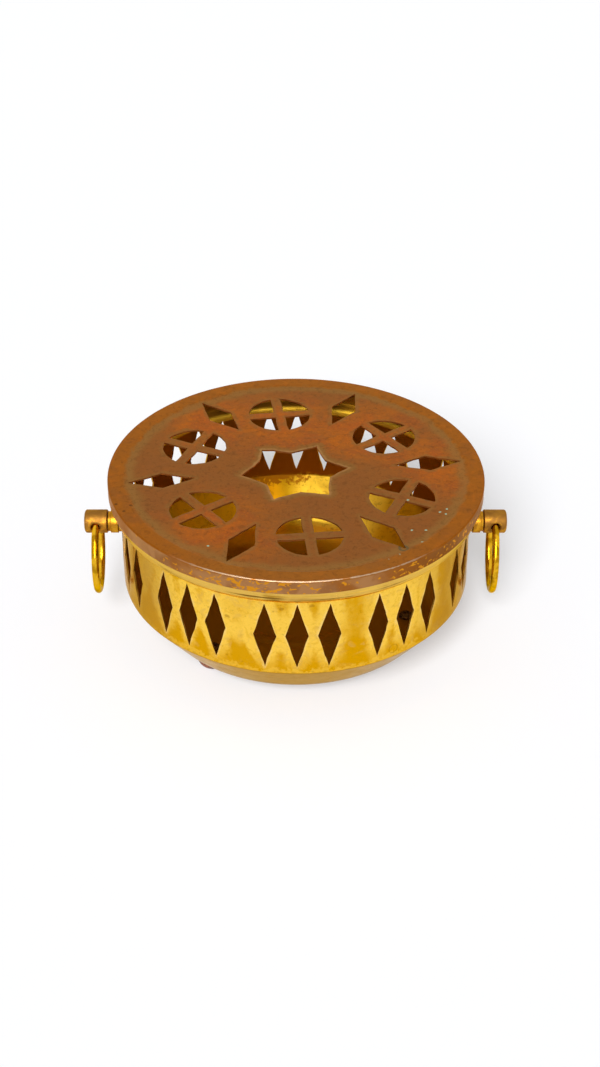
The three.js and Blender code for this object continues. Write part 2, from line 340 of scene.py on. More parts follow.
def rounded(mesh: Mesh, width: float, angle: float = 40, segments: int = 2) -> Mesh:
    """Merges points that lie too close, and breaks the sharp edges as a file or a polishing wheel does.

    Args:
        mesh: Mesh to change.
        width: Width of the rounding.
        angle: Edges sharper than this many degrees are rounded.
        segments: Steps across the rounding.

    Returns:
        The same mesh.
    """
    bmesh.ops.remove_doubles(mesh, verts=mesh.verts, dist=CLOSE_POINTS)
    sharp = [e for e in mesh.edges if e.is_manifold and math.degrees(e.calc_face_angle(0)) > angle]
    bmesh.ops.bevel(
        mesh, geom=sharp, offset=width, affect="EDGES", segments=segments, profile=0.5, material=-1,
        clamp_overlap=True,
    )
    return mesh


def finished(mesh: Mesh, name: str, body: str, nodes: list[str],
             material: bpy.types.Material) -> bpy.types.Object:
    """Turns a mesh in millimetres into a finished piece that stands for its node.

    Args:
        mesh: The piece's mesh; it is freed.
        name: Name of the piece.
        body: Body that it rides on.
        nodes: Nodes that it stands for.
        material: Its finish.

    Returns:
        The piece.
    """
    bmesh.ops.dissolve_degenerate(mesh, dist=SHORT_EDGE, edges=mesh.edges)
    bmesh.ops.scale(mesh, vec=(MM, MM, MM), verts=mesh.verts)
    piece = as_object(mesh, name)
    piece.data.materials.clear()
    piece.data.materials.append(material)
    piece.data.shade_smooth()
    piece.data.set_sharp_from_angle(angle=math.radians(CRISP_ANGLE))
    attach(piece, body)
    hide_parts(*nodes)
    LOG.info("%s: %d faces on %s", name, len(piece.data.polygons), body)
    return piece


def mark_distance(mesh: Mesh, outlines: Iterable[list[Vector]], name: str, reach: float) -> None:
    """Stores on each vertex how far it is from the nearest of some outlines, in millimetres.

    Args:
        mesh: Mesh to mark.
        outlines: Close points along each outline.
        name: Name of the attribute.
        reach: Largest distance that is kept.
    """
    points = [point for outline in outlines for point in outline]
    tree = kdtree.KDTree(len(points))
    for i, point in enumerate(points):
        tree.insert(point, i)
    tree.balance()
    layer = mesh.verts.layers.float.new(name)
    for vert in mesh.verts:
        vert[layer] = min(reach, tree.find(vert.co)[2])


def mark_surface(mesh: Mesh, inwards: Callable[[Vector], Vector]) -> None:
    """Stores on each face whether it looks at the inside, lies in a cut or looks out.

    Args:
        mesh: Shell to mark.
        inwards: Gives, for a face's middle, the way to the inside.
    """
    layer = mesh.faces.layers.float.new("surface")
    for face in mesh.faces:
        towards = face.normal.dot(inwards(face.calc_center_median()).normalized())
        surface = Surface.INSIDE if towards > 0 else Surface.OUTSIDE
        face[layer] = (Surface.CUT if abs(towards) < CUT_TILT else surface).value


# Finishes

# Farther than any place on the object is from another, in millimetres
FAR = 1000.0
# What a cloudy pattern mostly runs between
CLOUD_LOW, CLOUD_HIGH = 0.3, 0.7
# Where the surface attribute turns to the value of a cut's faces, and to that of the inside
CUT_FACES = (0.3, 0.45)
INSIDE_FACES = (0.6, 0.9)


def linear(colour: str) -> tuple[float, float, float, float]:
    """Turns an sRGB hex colour into linear RGBA.

    Args:
        colour: The colour, as #RRGGBB.

    Returns:
        Red, green, blue and an alpha of 1.
    """
    parts = [int(colour[i:i + 2], 16) / 255 for i in (1, 3, 5)]
    red, green, blue = (p / 12.92 if p <= 0.04045 else ((p + 0.055) / 1.055) ** 2.4 for p in parts)
    return red, green, blue, 1.0


class Layer(NamedTuple):
    """A colour laid over those below it where a value rises from low to high.

    Where low is above high, the colour lies where the value is small instead. The last number says how opaque
    it becomes.
    """

    top: Socket | str
    value: Socket
    low: float
    high: float
    most: float = 1.0


class Plan:
    """The node tree of a material or a world."""

    def __init__(self, owner: bpy.types.Material | bpy.types.World) -> None:
        """Empties the owner's node tree.

        Args:
            owner: The material or world.
        """
        owner.use_nodes = True
        self.tree = owner.node_tree
        self.tree.nodes.clear()

    def add(self, kind: str, inputs: dict | None = None, **settings: object) -> bpy.types.Node:
        """Adds one node.

        Args:
            kind: The node's type name.
            inputs: Values or linked sockets by the input's name or number.
            settings: The node's own settings.

        Returns:
            The node.
        """
        node = self.tree.nodes.new(kind)
        for key, value in settings.items():
            setattr(node, key, value)
        for key, value in (inputs or {}).items():
            if isinstance(value, Socket):
                self.tree.links.new(value, node.inputs[key])
            else:
                node.inputs[key].default_value = value
        return node

    def seen(self) -> Socket:
        """Gives 1 where the camera, metal or glass sees the surface and 0 for the light it sends on.

        Returns:
            The 1 or 0.
        """
        path = self.add("ShaderNodeLightPath").outputs
        seen = path["Is Camera Ray"]
        for ray in ("Is Glossy Ray", "Is Transmission Ray"):
            seen = self.add("ShaderNodeMath", {0: seen, 1: path[ray]}, operation="MAXIMUM").outputs[0]
        return seen


class Recipe(Plan):
    """The node tree of one finish, read on the piece's own coordinates in metres."""

    def __init__(self, name: str, **shader: float | tuple[float, float, float, float]) -> None:
        """Starts a finish.

        Args:
            name: Name of the material.
            shader: Constant values of the shader's sockets, with underscores for spaces.
        """
        self.material = bpy.data.materials.new(name)
        super().__init__(self.material)
        values = {key.replace("_", " "): value for key, value in shader.items()}
        self.shader = self.add("ShaderNodeBsdfPrincipled", values)
        self.add("ShaderNodeOutputMaterial", {"Surface": self.shader.outputs[0]})
        self.place = self.add("ShaderNodeTexCoord").outputs["Object"]

    def blotches(self, size: float, detail: float = 3, stretch: Triple = (1, 1, 1), shift: float = 0,
                 warp: float = 0) -> Socket:
        """Gives an uneven cloudy pattern.

        Args:
            size: Width of a blotch in millimetres.
            detail: How many finer layers it has.
            stretch: How much longer a blotch is along each axis.
            shift: Moves the pattern, so that two of one size differ.
            warp: How much the blotches are twisted.

        Returns:
            A value about 0.5, mostly from 0.3 to 0.7.
        """
        place = {"Vector": self.place, "Location": (shift,) * 3, "Scale": tuple(1 / s for s in stretch)}
        placed = self.add("ShaderNodeMapping", place)
        cloud = self.add("ShaderNodeTexNoise", {
            "Vector": placed.outputs[0], "Scale": 1 / (size * MM), "Detail": detail, "Distortion": warp,
        })
        return cloud.outputs[0]

    def layered(self, under: Socket | str, *layers: Layer) -> Socket:
        """Lays colours over one another.

        Args:
            under: Colour below them all, as a socket or a hex colour.
            layers: The layers, the lowest first.

        Returns:
            The mixed colour.
        """
        for top, value, low, high, most in layers:
            ends = {"From Min": low, "From Max": high, "To Max": most}
            if low > high:
                ends = {"From Min": high, "From Max": low, "To Min": most, "To Max": 0.0}
            share = self.add("ShaderNodeMapRange", {"Value": value, **ends}, interpolation_type="SMOOTHSTEP")
            colours = {key: linear(c) if isinstance(c, str) else c for key, c in ((6, under), (7, top))}
            under = self.add("ShaderNodeMix", {0: share.outputs[0], **colours}, data_type="RGBA").outputs[2]
        return under

    def weighted(self, *terms: tuple[Socket, float]) -> Socket:
        """Adds up values, each times its weight.

        Args:
            terms: The values with their weights.

        Returns:
            The sum.
        """
        total: Socket | float = 0.0
        for value, weight in terms:
            inputs = {0: value, 1: weight, 2: total}
            total = self.add("ShaderNodeMath", inputs, operation="MULTIPLY_ADD").outputs[0]
        return total

    def ragged(self, value: Socket, *terms: tuple[Socket, float]) -> Socket:
        """Adds weighted patterns to a value, so that where it passes a limit the line turns ragged."""
        return self.weighted((value, 1.0), *terms)

    def distance(self, points: Iterable[Triple], along: Triple = (1, 1, 1)) -> Socket:
        """Gives the distance to the nearest of some points in millimetres.

        Args:
            points: The points in millimetres.
            along: Weight of each axis: 0 turns the points into lines along that axis.

        Returns:
            The distance.
        """
        nearest: Socket | float = FAR
        for point in points:
            offset = tuple(-p * a for p, a in zip(point, along))
            inputs = {0: self.place, 1: tuple(a / MM for a in along), 2: offset}
            placed = self.add("ShaderNodeVectorMath", inputs, operation="MULTIPLY_ADD").outputs[0]
            length = self.add("ShaderNodeVectorMath", {0: placed}, operation="LENGTH").outputs["Value"]
            nearest = self.add("ShaderNodeMath", {0: length, 1: nearest}, operation="MINIMUM").outputs[0]
        return nearest

    def beside(self, *places: Point) -> Socket:
        """Gives the level distance to the nearest of some places, at any height, in millimetres."""
        return self.distance([(*place, 0) for place in places], (1, 1, 0))

    def dried_drop(self, points: Iterable[Triple], radius: float, half_width: float) -> Socket:
        """Gives 1 on the ring that a dried drop leaves round each point, and 0 beside it."""
        inputs = {0: self.distance(points), 1: radius, 2: half_width}
        return self.add("ShaderNodeMath", inputs, operation="COMPARE").outputs[0]

    def height(self) -> Socket:
        """Gives the height above the table in millimetres."""
        return self.weighted((self.add("ShaderNodeSeparateXYZ", {0: self.place}).outputs["Z"], 1 / MM))

    def marked(self, name: str, *terms: tuple[Socket, float]) -> Socket:
        """Reads a value kept on the mesh and adds weighted patterns to it."""
        return self.ragged(self.add("ShaderNodeAttribute", attribute_name=name).outputs["Fac"], *terms)

    def close(self, colour: Socket, cloud: Socket, rough: Point, relief: Socket,
              depth: float) -> bpy.types.Material:
        """Links colour, roughness and relief to the shader.

        Args:
            colour: Base colour.
            cloud: Cloudy pattern that the roughness follows.
            rough: Roughness in the hollows and on the heights of that pattern.
            relief: Relief pattern from 0 to 1.
            depth: What a relief of 1 rises, in millimetres.

        Returns:
            The material.
        """
        ends = {"From Min": CLOUD_LOW, "From Max": CLOUD_HIGH, "To Min": rough[0], "To Max": rough[1]}
        spread = self.add("ShaderNodeMapRange", {"Value": cloud, **ends}, clamp=False).outputs[0]
        bump = self.add("ShaderNodeBump", {"Height": relief, "Distance": depth * MM, "Strength": 1.0})
        for key, value in (("Base Color", colour), ("Roughness", spread), ("Normal", bump.outputs[0])):
            self.tree.links.new(value, self.shader.inputs[key])
        return self.material


@dataclass(frozen=True)
class AgedCopper:
    """Spun copper sheet, once polished, then heated over a flame and handled for years.

    The eye sees a warm orange brown that goes duller outwards, mottled all over, with khaki tarnish along
    every edge and in the bend of the dish, orange flakes in the pinkish brown of the skirt and a few specks
    of verdigris. Along the rounded outer edge lies a painted darker reflection, with a pale painted highlight
    at the front, and a pale painted highlight lies along the star's bent edge. Real mottling goes on far
    below half a millimetre, too fine to show, so its finest layer is drawn 0.8 mm wide.
    """

    warm: str = "#9C5822"
    bright: str = "#B8641C"
    glowing: str = "#BC5C18"
    dull: str = "#845229"
    red: str = "#964E24"
    olive: str = "#885F30"
    khaki: str = "#926A36"
    rim: str = "#98581A"
    # Pale painted highlight on the front of the rounded edge
    worn: str = "#AC947A"
    # Painted darker reflection along the rounded edge
    edge: str = "#8E4E0C"
    # Pale painted highlight along the star's bent edge
    bent: str = "#A67A48"
    skirt: str = "#A9784A"
    flake: str = "#CF8A1E"
    soot: str = "#4A2A12"
    verdigris: str = "#9DB8A0"
    stain: str = "#5A5138"
    fresh: str = "#C87838"
    underside: str = "#8C6434"
    edge_tint: str = "#FFE7CB"
    specks: tuple[Point, ...] = (
        (-48.9, -75.9), (56.0, -84.5), (64.0, -60.4), (71.8, -60.4), (68.8, -72.1), (81.0, -42.4),
        (85.2, -39.3), (84.2, -44.4), (49.7, -89.2), (63.7, -30.1), (61.9, -33.5),
    )
    drop: Point = (58.3, -77.8)
    drop_radius: float = 2.3
    drop_half_width: float = 0.7
    pits: tuple[Point, ...] = ((-102.5, -35.4), (-93.9, -36.4), (-97.4, -42.5))
    flaked_sides: tuple[Point, ...] = ((-30.0, -105.0), (101.0, -98.0))
    sooty_side: Point = (92.0, -60.0)
    front: Point = (5.0, -112.0)
    warm_places: tuple[Point, ...] = ((-50.0, 60.0), (-8.0, 52.0), (38.0, 46.0), (84.0, 8.0), (-48.0, -58.0))

    def material(self, lid: "Lid") -> bpy.types.Material:
        """Builds the finish of the lid.

        Args:
            lid: The lid, whose sizes place the tarnish.

        Returns:
            The material.
        """
        mix = Recipe("aged_copper", Metallic=1.0, Specular_Tint=linear(self.edge_tint))
        broad = mix.blotches(42, 3, warp=0.5)
        middle = mix.blotches(14, 4, shift=3, warp=0.5)
        small = mix.blotches(4.5, 5, shift=1, warp=0.4)
        grain = mix.blotches(0.8, 3, shift=7)
        patches = mix.blotches(22, 4, shift=5, warp=0.6)
        mottles = mix.blotches(2.8, 5, shift=17, warp=0.8)
        dust = mix.blotches(1.7, 4, shift=13)
        flakes = mix.blotches(3.8, 6, shift=11, stretch=(1, 1, 0.6), warp=0.7)
        radius = mix.beside((0, 0))
        warm = mix.beside(*self.warm_places)
        front = mix.beside(self.front)
        height = mix.height()
        surface = mix.marked("surface")
        field = lid.field_radius
        bend = mix.ragged(radius, (middle, 6.0), (small, 4.0))
        rim = mix.layered(
            self.rim,
            Layer(self.dull, middle, 0.46, 0.72, 0.5),
            Layer(self.bright, small, 0.48, 0.72, 0.3),
            Layer(self.khaki, front, 85, 40, 0.15),
        )
        # Flat field: orange and red patches, warmest at some places, olive and khaki towards the bend
        colour = mix.layered(
            self.warm,
            Layer(self.red, patches, 0.4, 0.58, 0.8),
            Layer(self.bright, middle, 0.45, 0.7, 0.7),
            Layer(self.bright, dust, 0.5, 0.68, 0.6),
            Layer(self.dull, small, 0.42, 0.72, 0.55),
            Layer(self.dull, mix.ragged(warm, (broad, 50.0), (middle, 25.0)), 50, 88, 0.8),
            Layer(self.glowing, mix.ragged(warm, (middle, 60.0)), 58, 30, 0.28),
            Layer(self.olive, mix.ragged(radius, (broad, 14.0), (middle, 14.0)), field + 6, field + 14, 0.5),
            Layer(self.khaki, bend, field - 1, field + 3, 0.45),
            Layer(rim, bend, field + 4.5, field + 7.5),
        )
        # Openings: wide olive tarnish, a pale painted highlight along the star's bent edge and a thin dark
        # line, then fine soot
        colour = mix.layered(
            colour,
            Layer(self.olive, mix.marked("cut_distance", (middle, -6.0), (small, -4.0)), -2.0, -4.4, 0.6),
            Layer(self.olive, mix.marked("star_distance", (middle, -8.0), (small, -5.0)), -1.0, -4.5, 0.75),
            # Pale painted highlight along the star's bent edge
            Layer(self.bent, mix.marked("star_distance", (small, -2.0)), 1.0, -0.3, 0.7),
            Layer(self.soot, mix.marked("cut_distance", (small, 0.8)), 1.0, 0.5, 0.5),
            Layer(self.soot, mottles, 0.5, 0.72, 0.3),
            Layer(self.soot, grain, 0.56, 0.74, 0.35),
        )
        # Small marks: specks of verdigris, one dried drop and three pits in the rim band
        specks = mix.distance([(*place, lid.field_top) for place in self.specks])
        drop = mix.dried_drop([(*self.drop, lid.field_top)], self.drop_radius, self.drop_half_width)
        pits = mix.distance([(*place, lid.top) for place in self.pits])
        colour = mix.layered(
            colour,
            Layer(self.verdigris, mix.ragged(specks, (grain, -1.2)), 0.25, -0.1),
            Layer(self.stain, mix.weighted((drop, 0.6), (small, 0.8)), 0.75, 1.05, 0.8),
            Layer(self.soot, mix.ragged(pits, (small, -1.5)), 0.6, -0.2, 0.7),
        )
        # Skirt: pinkish brown, sooty at the right, orange where the patina has flaked off
        sooty = mix.distance([(*self.sooty_side, lid.low)])
        flaked = mix.distance([(*place, lid.low) for place in self.flaked_sides])
        skirt = mix.layered(
            self.skirt,
            Layer(self.dull, middle, 0.45, 0.65, 0.6),
            Layer(self.rim, broad, 0.48, 0.6, 0.7),
            Layer(self.rim, sooty, 70, 40, 0.7),
            Layer(self.soot, mix.ragged(sooty, (middle, 60.0)), 100, 50, 0.35),
            Layer(self.flake, mix.ragged(flakes, (flaked, -0.0022)), 0.5, 0.53),
        )
        # Rounded edge: a painted darker reflection all along it, and a pale painted highlight at the front;
        # then the sawn faces and the underside
        edge = mix.layered(self.edge, Layer(self.worn, front, 85, 50))
        corner = mix.ragged(radius, (height, 1.0), (small, 0.8))
        colour = mix.layered(
            colour,
            Layer(skirt, height, lid.top - 0.8, lid.top - 1.4),
            Layer(edge, corner, lid.corner + 0.6, lid.corner + 0.75, 0.75),
            Layer(self.fresh, surface, *CUT_FACES, 0.8),
            Layer(self.underside, surface, *INSIDE_FACES),
        )
        waves = mix.blotches(16, 2, shift=5)
        relief = mix.weighted((grain, 0.12), (small, 0.3), (waves, 1.0))
        return mix.close(colour, middle, (0.34, 0.5), relief, 0.12)


@dataclass(frozen=True)
class PolishedBrass:
    """Spun brass sheet, polished outside and left to tarnish inside.

    The eye sees a wall that is bright yellow at its top and round the windows, and deep cloudy gold between
    and below them, under a beige haze. The deeper gold low on the wall is a painted darker reflection of the
    shaded table, a bright patch at the front left is painted light, deep gold at the front right is painted
    shade, and the duller brass at the sides by the lugs is a painted darker reflection. It is splashed brown
    above the crease, beige below it, where nobody polishes, and lined round the neck. Inside, gold painted
    light lies at the back and on the step below the neck, with amber beside it, and brown painted shade lies
    on the front of the floor, in the crease at the back and on the neck above the step; it is also darker
    near the lugs. Real polishing lines are about 0.1 mm wide, too fine to show, so they are drawn 0.9 mm
    wide.
    """

    bright: str = "#F8CA4C"
    deep: str = "#D69C00"
    pale: str = "#FBD888"
    haze: str = "#DCAE54"
    dull: str = "#A67A44"
    brown: str = "#94640E"
    neck: str = "#DAB054"
    line: str = "#6B4A16"
    base: str = "#A07840"
    fresh: str = "#B47E20"
    inside: str = "#B88A10"
    tarnish: str = "#A0620E"
    # Brown of the painted shade inside; it also darkens the inside near the lugs
    soot: str = "#8E5008"
    # Gold of the painted light inside: at the back and on the step below the neck
    painted_light: str = "#FACA3C"
    amber: str = "#E0980A"
    edge_tint: str = "#F8E0A8"
    spots: tuple[Triple, ...] = ((-8.9, -103.0, 80.6), (7.9, -103.1, 82.7), (-38.7, -95.9, 70.3))
    drop: Triple = (54.4, -87.9, 41.3)
    drop_radius: float = 2.8
    drop_half_width: float = 0.35
    neck_line_rise: float = 0.4
    neck_line_half_width: float = 1.1
    # Middle and reach of the painted shade on the front of the floor, inside
    painted_shade_middle: Point = (-20.0, -60.0)
    painted_shade_radius: float = 118.0
    # Middle and reach of the gold painted light at the back, inside
    painted_light_place: Point = (32.0, 92.0)
    painted_light_radius: float = 38.0
    amber_places: tuple[Point, ...] = ((-45.0, 80.0), (68.0, 62.0))
    amber_radius: float = 46.0
    # Place of the painted shade in the crease at the back, inside
    crease_shade_place: Point = (-12.0, 98.0)
    # Places of the painted light on the wall's front left and of the painted shade on its front right
    painted_bright_patch: Point = (-32.0, -98.0)
    painted_shade_patch: Point = (32.0, -98.0)

    def material(self, bowl: "Bowl") -> bpy.types.Material:
        """Builds the finish of the bowl.

        Args:
            bowl: The bowl, whose sizes place the tarnish.

        Returns:
            The material.
        """
        mix = Recipe("polished_brass", Metallic=1.0, Specular_Tint=linear(self.edge_tint))
        broad = mix.blotches(26, 3, warp=0.5)
        middle = mix.blotches(8, 5, shift=4, warp=0.5)
        small = mix.blotches(2.4, 4, shift=6, warp=0.4)
        grain = mix.blotches(0.6, 3, shift=9)
        upright = mix.blotches(5, 3, stretch=(1, 1, 7), shift=8)
        around = mix.blotches(0.9, 3, stretch=(30, 30, 1), shift=2)
        smears = mix.blotches(4, 6, shift=15, warp=1.5)
        haze = mix.blotches(7, 5, shift=21, warp=1.0)
        height = mix.height()
        surface = mix.marked("surface")
        lugs = mix.beside((bowl.wall_radius, 0), (-bowl.wall_radius, 0))
        crease, neck_foot, wall_top = bowl.crease, bowl.neck_foot, bowl.wall_top
        # Wall: bright near the windows, deep away from them, and deep low down, a painted darker reflection
        # of the shaded table
        ripples = (broad, 20.0), (middle, 6.0), (upright, 6.0), (small, 4.0), (height, -0.12)
        low = mix.ragged(height, (broad, 30.0), (middle, 12.0))
        colour = mix.layered(
            self.bright,
            Layer(self.deep, mix.marked("cut_distance", *ripples), 13.8, 19.2, 0.95),
            Layer(self.deep, low, crease + 36, crease + 20, 0.7),
        )
        # Painted light: a bright patch at the front left; painted shade: deep gold at the front right
        for place, tone, rise in ((self.painted_bright_patch, self.bright, 0.8), (self.painted_shade_patch, self.deep, 0.0)):
            patch = mix.ragged(mix.beside(place), (broad, 16.0), (middle, 8.0), (height, -rise))
            start = 22 - rise * (crease + 24)
            colour = mix.layered(colour, Layer(tone, patch, start, start - 10, 0.75))
        # On it: smears and haze, splashes above the crease, pale window edges, spots, a dried drop, and
        # duller brass at the sides by the lugs, a painted darker reflection
        splashed = mix.ragged(height, (middle, 12.0), (small, 10.0))
        near = mix.marked("cut_distance", (middle, -4.0), (small, -2.0))
        spots = mix.ragged(mix.distance(self.spots, (1, 1, 1.6)), (small, -3.0))
        drop = mix.dried_drop([self.drop], self.drop_radius, self.drop_half_width)
        colour = mix.layered(
            colour,
            Layer(self.deep, smears, 0.5, 0.7, 0.4),
            Layer(self.haze, haze, 0.52, 0.7, 0.45),
            Layer(self.bright, splashed, crease + 15, crease + 13, 0.45),
            Layer(self.brown, splashed, crease + 11.5, crease + 10.5, 0.3),
            Layer(self.pale, near, -1.6, -2.8, 0.5),
            Layer(self.brown, small, 0.64, 0.76, 0.35),
            Layer(self.brown, spots, 0.6, -0.6, 0.5),
            Layer(self.brown, mix.weighted((drop, 0.5), (small, 0.8)), 0.7, 1.0, 0.4),
            # Painted darker reflection at the sides by the lugs
            Layer(self.dull, mix.ragged(lugs, (broad, 20.0)), 105, 65, 0.75),
        )
        # Neck with its lines, the dark line at its foot, and the base below the crease
        streaks = mix.ragged(around, (broad, 0.8))
        neck = mix.layered(
            self.neck,
            Layer(self.bright, around, 0.45, 0.7, 0.5),
            Layer(self.brown, streaks, 0.98, 1.2, 0.8),
        )
        line_band = {0: height, 1: neck_foot + self.neck_line_rise, 2: self.neck_line_half_width}
        neck_line = mix.add("ShaderNodeMath", line_band, operation="COMPARE").outputs[0]
        base = mix.layered(
            self.base,
            Layer(self.brown, small, 0.6, 0.75, 0.25),
            Layer(self.haze, mix.ragged(around, (middle, 0.6)), 0.8, 1.05, 0.3),
            Layer(self.line, smears, 0.56, 0.72, 0.25),
        )
        # Inside: gold painted light and amber at the back, brown painted shade on the front of the floor, in
        # the crease at the back and on the neck above the wall, and darker near the lugs
        floor = mix.ragged(mix.beside(self.painted_shade_middle), (broad, 20.0), (middle, 12.0))
        # Distance to the painted shade in the crease at the back
        stained = mix.distance([(*self.crease_shade_place, crease)], (0.6, 0.6, 3.0))
        amber, painted_light = mix.beside(*self.amber_places), mix.beside(self.painted_light_place)
        inside = mix.layered(
            self.inside,
            Layer(self.amber, amber, self.amber_radius, self.amber_radius * 0.7, 0.9),
            Layer(self.painted_light, painted_light, self.painted_light_radius, self.painted_light_radius * 0.6, 0.9),
            Layer(self.tarnish, smears, 0.52, 0.7, 0.4),
            # Painted shade on the front of the floor
            Layer(self.soot, floor, self.painted_shade_radius + 30, self.painted_shade_radius + 8, 0.95),
            Layer(self.soot, mix.ragged(stained, (middle, 20.0), (small, 30.0)), 39, 33, 0.9),
            Layer(self.tarnish, mix.ragged(height, (middle, 9.0)), crease + 3, crease + 7),
            Layer(self.soot, lugs, 75, 45, 0.6),
            # Painted light on the step below the neck, and painted shade on the neck above it
            Layer(self.painted_light, height, wall_top - 2.5, wall_top - 1),
            Layer(self.soot, height, wall_top + 1.5, wall_top + 3, 0.8),
        )
        colour = mix.layered(
            colour,
            Layer(neck, height, neck_foot - 2.5, neck_foot - 0.5, 0.9),
            Layer(self.line, mix.weighted((neck_line, 0.6), (streaks, 0.6)), 1.1, 1.3, 0.75),
            Layer(base, height, crease + 0.3, crease - 0.4),
            Layer(self.fresh, surface, *CUT_FACES, 0.7),
            Layer(inside, surface, *INSIDE_FACES),
        )
        waves = mix.blotches(13, 2, shift=2)
        relief = mix.weighted((grain, 0.05), (around, 0.12), (small, 0.2), (waves, 1.0))
        return mix.close(colour, mix.ragged(middle, (surface, 1.0)), (0.15, 0.28), relief, 0.1)


@dataclass(frozen=True)
class TurnedBrass:
    """Brass bar turned on a lathe and never polished since.

    The eye sees a dull yellow with brownish mottling, fine tool marks round it and a dark ring round the
    ring's hole. Real tool marks are about 0.15 mm wide, too fine to show, so they are drawn 0.35 mm wide.
    """

    clean: str = "#BC8428"
    dull: str = "#8C6028"
    grime: str = "#4A3012"
    edge_tint: str = "#FFE9C0"
    rough: Point = (0.4, 0.58)

    def material(self, name: str, hole: Triple, hole_radius: float) -> bpy.types.Material:
        """Builds the finish of a lug's turned pieces.

        Args:
            name: Name of the material.
            hole: A point on the axis of the ring's hole, in millimetres.
            hole_radius: Radius of that hole.

        Returns:
            The material.
        """
        mix = Recipe(name, Metallic=1.0, Specular_Tint=linear(self.edge_tint))
        broad = mix.blotches(5, 4, warp=0.6)
        fine = mix.blotches(0.45, 3, stretch=(8, 1, 1), shift=3)
        marks = mix.blotches(0.35, 2, stretch=(1, 12, 12), shift=5)
        up = mix.ragged(mix.height(), (broad, 6.0))
        ring = mix.distance([hole], (1, 0, 1))
        colour = mix.layered(
            self.clean,
            Layer(self.dull, broad, 0.42, 0.58, 0.9),
            Layer(self.dull, fine, 0.5, 0.7, 0.5),
            Layer(self.grime, fine, 0.62, 0.78, 0.4),
            Layer(self.dull, up, hole[2] + 5, hole[2] + 9, 0.7),
            # Dark ring round the mouth of the ring's hole
            Layer(self.grime, ring, hole_radius + 0.8, hole_radius + 0.3, 0.6),
            Layer(self.clean, ring, hole_radius + 0.2, hole_radius + 0.1),
        )
        relief = mix.weighted((marks, 0.3), (fine, 0.3), (broad, 1.0))
        return mix.close(colour, broad, self.rough, relief, 0.05)


@dataclass(frozen=True)
class RingBrass:
    """Drawn brass wire, bent to a ring and worn by the hand.

    The eye sees a bright smooth yellow with sharp highlights, and dark spots where nobody rubs it and in the
    butt joint.
    """

    bright: str = "#E2AE24"
    deep: str = "#B0800E"
    dark: str = "#46300C"
    edge_tint: str = "#F4DC90"

    def material(self) -> bpy.types.Material:
        """Builds the finish of the rings.

        Returns:
            The material.
        """
        mix = Recipe("ring_brass", Metallic=1.0, Specular_Tint=linear(self.edge_tint))
        broad = mix.blotches(7, 3, warp=0.5)
        spots = mix.blotches(2.8, 5, shift=6, warp=0.8)
        colour = mix.layered(
            self.bright,
            Layer(self.deep, broad, 0.42, 0.6),
            Layer(self.dark, spots, 0.6, 0.7, 0.75),
            Layer(self.dark, mix.marked("joint_distance", (spots, -0.3)), 0.4, 0.0),
        )
        return mix.close(colour, spots, (0.1, 0.3), mix.weighted((spots, 0.4), (broad, 1.0)), 0.08)


@dataclass(frozen=True)
class ScrewBrass:
    """Machine-cut brass screws, browned by heat: the eye sees dull dark heads, mottled, with little shine."""

    worn: str = "#704820"
    dark: str = "#3A220E"
    edge_tint: str = "#5A4020"

    def material(self) -> bpy.types.Material:
        """Builds the finish of the screws.

        Returns:
            The material.
        """
        mix = Recipe("screw_brass", Metallic=1.0, Specular_Tint=linear(self.edge_tint))
        blotch = mix.blotches(1.6, 4)
        colour = mix.layered(self.worn, Layer(self.dark, blotch, 0.4, 0.62))
        return mix.close(colour, blotch, (0.45, 0.7), blotch, 0.06)


@dataclass(frozen=True)
class TurnedWood:
    """Hardwood turned on a lathe, stained and oiled.

    The eye sees a reddish brown with fine dark grain and a low shine. Real pores are about 0.1 mm wide, too
    fine to show, so the grain is drawn 0.8 mm wide.
    """

    light: str = "#8E4A26"
    dark: str = "#4A2210"

    def material(self) -> bpy.types.Material:
        """Builds the finish of the feet.

        Returns:
            The material.
        """
        mix = Recipe("dark_wood", Metallic=0.0, IOR=1.5)
        grain = mix.blotches(0.8, 3, stretch=(8, 1, 1))
        cloud = mix.blotches(5, 3, shift=2)
        colour = mix.layered(
            self.light,
            Layer(self.dark, grain, 0.4, 0.62),
            Layer(self.dark, cloud, 0.5, 0.7, 0.6),
        )
        return mix.close(colour, cloud, (0.35, 0.5), grain, 0.08)


# Sub-assemblies

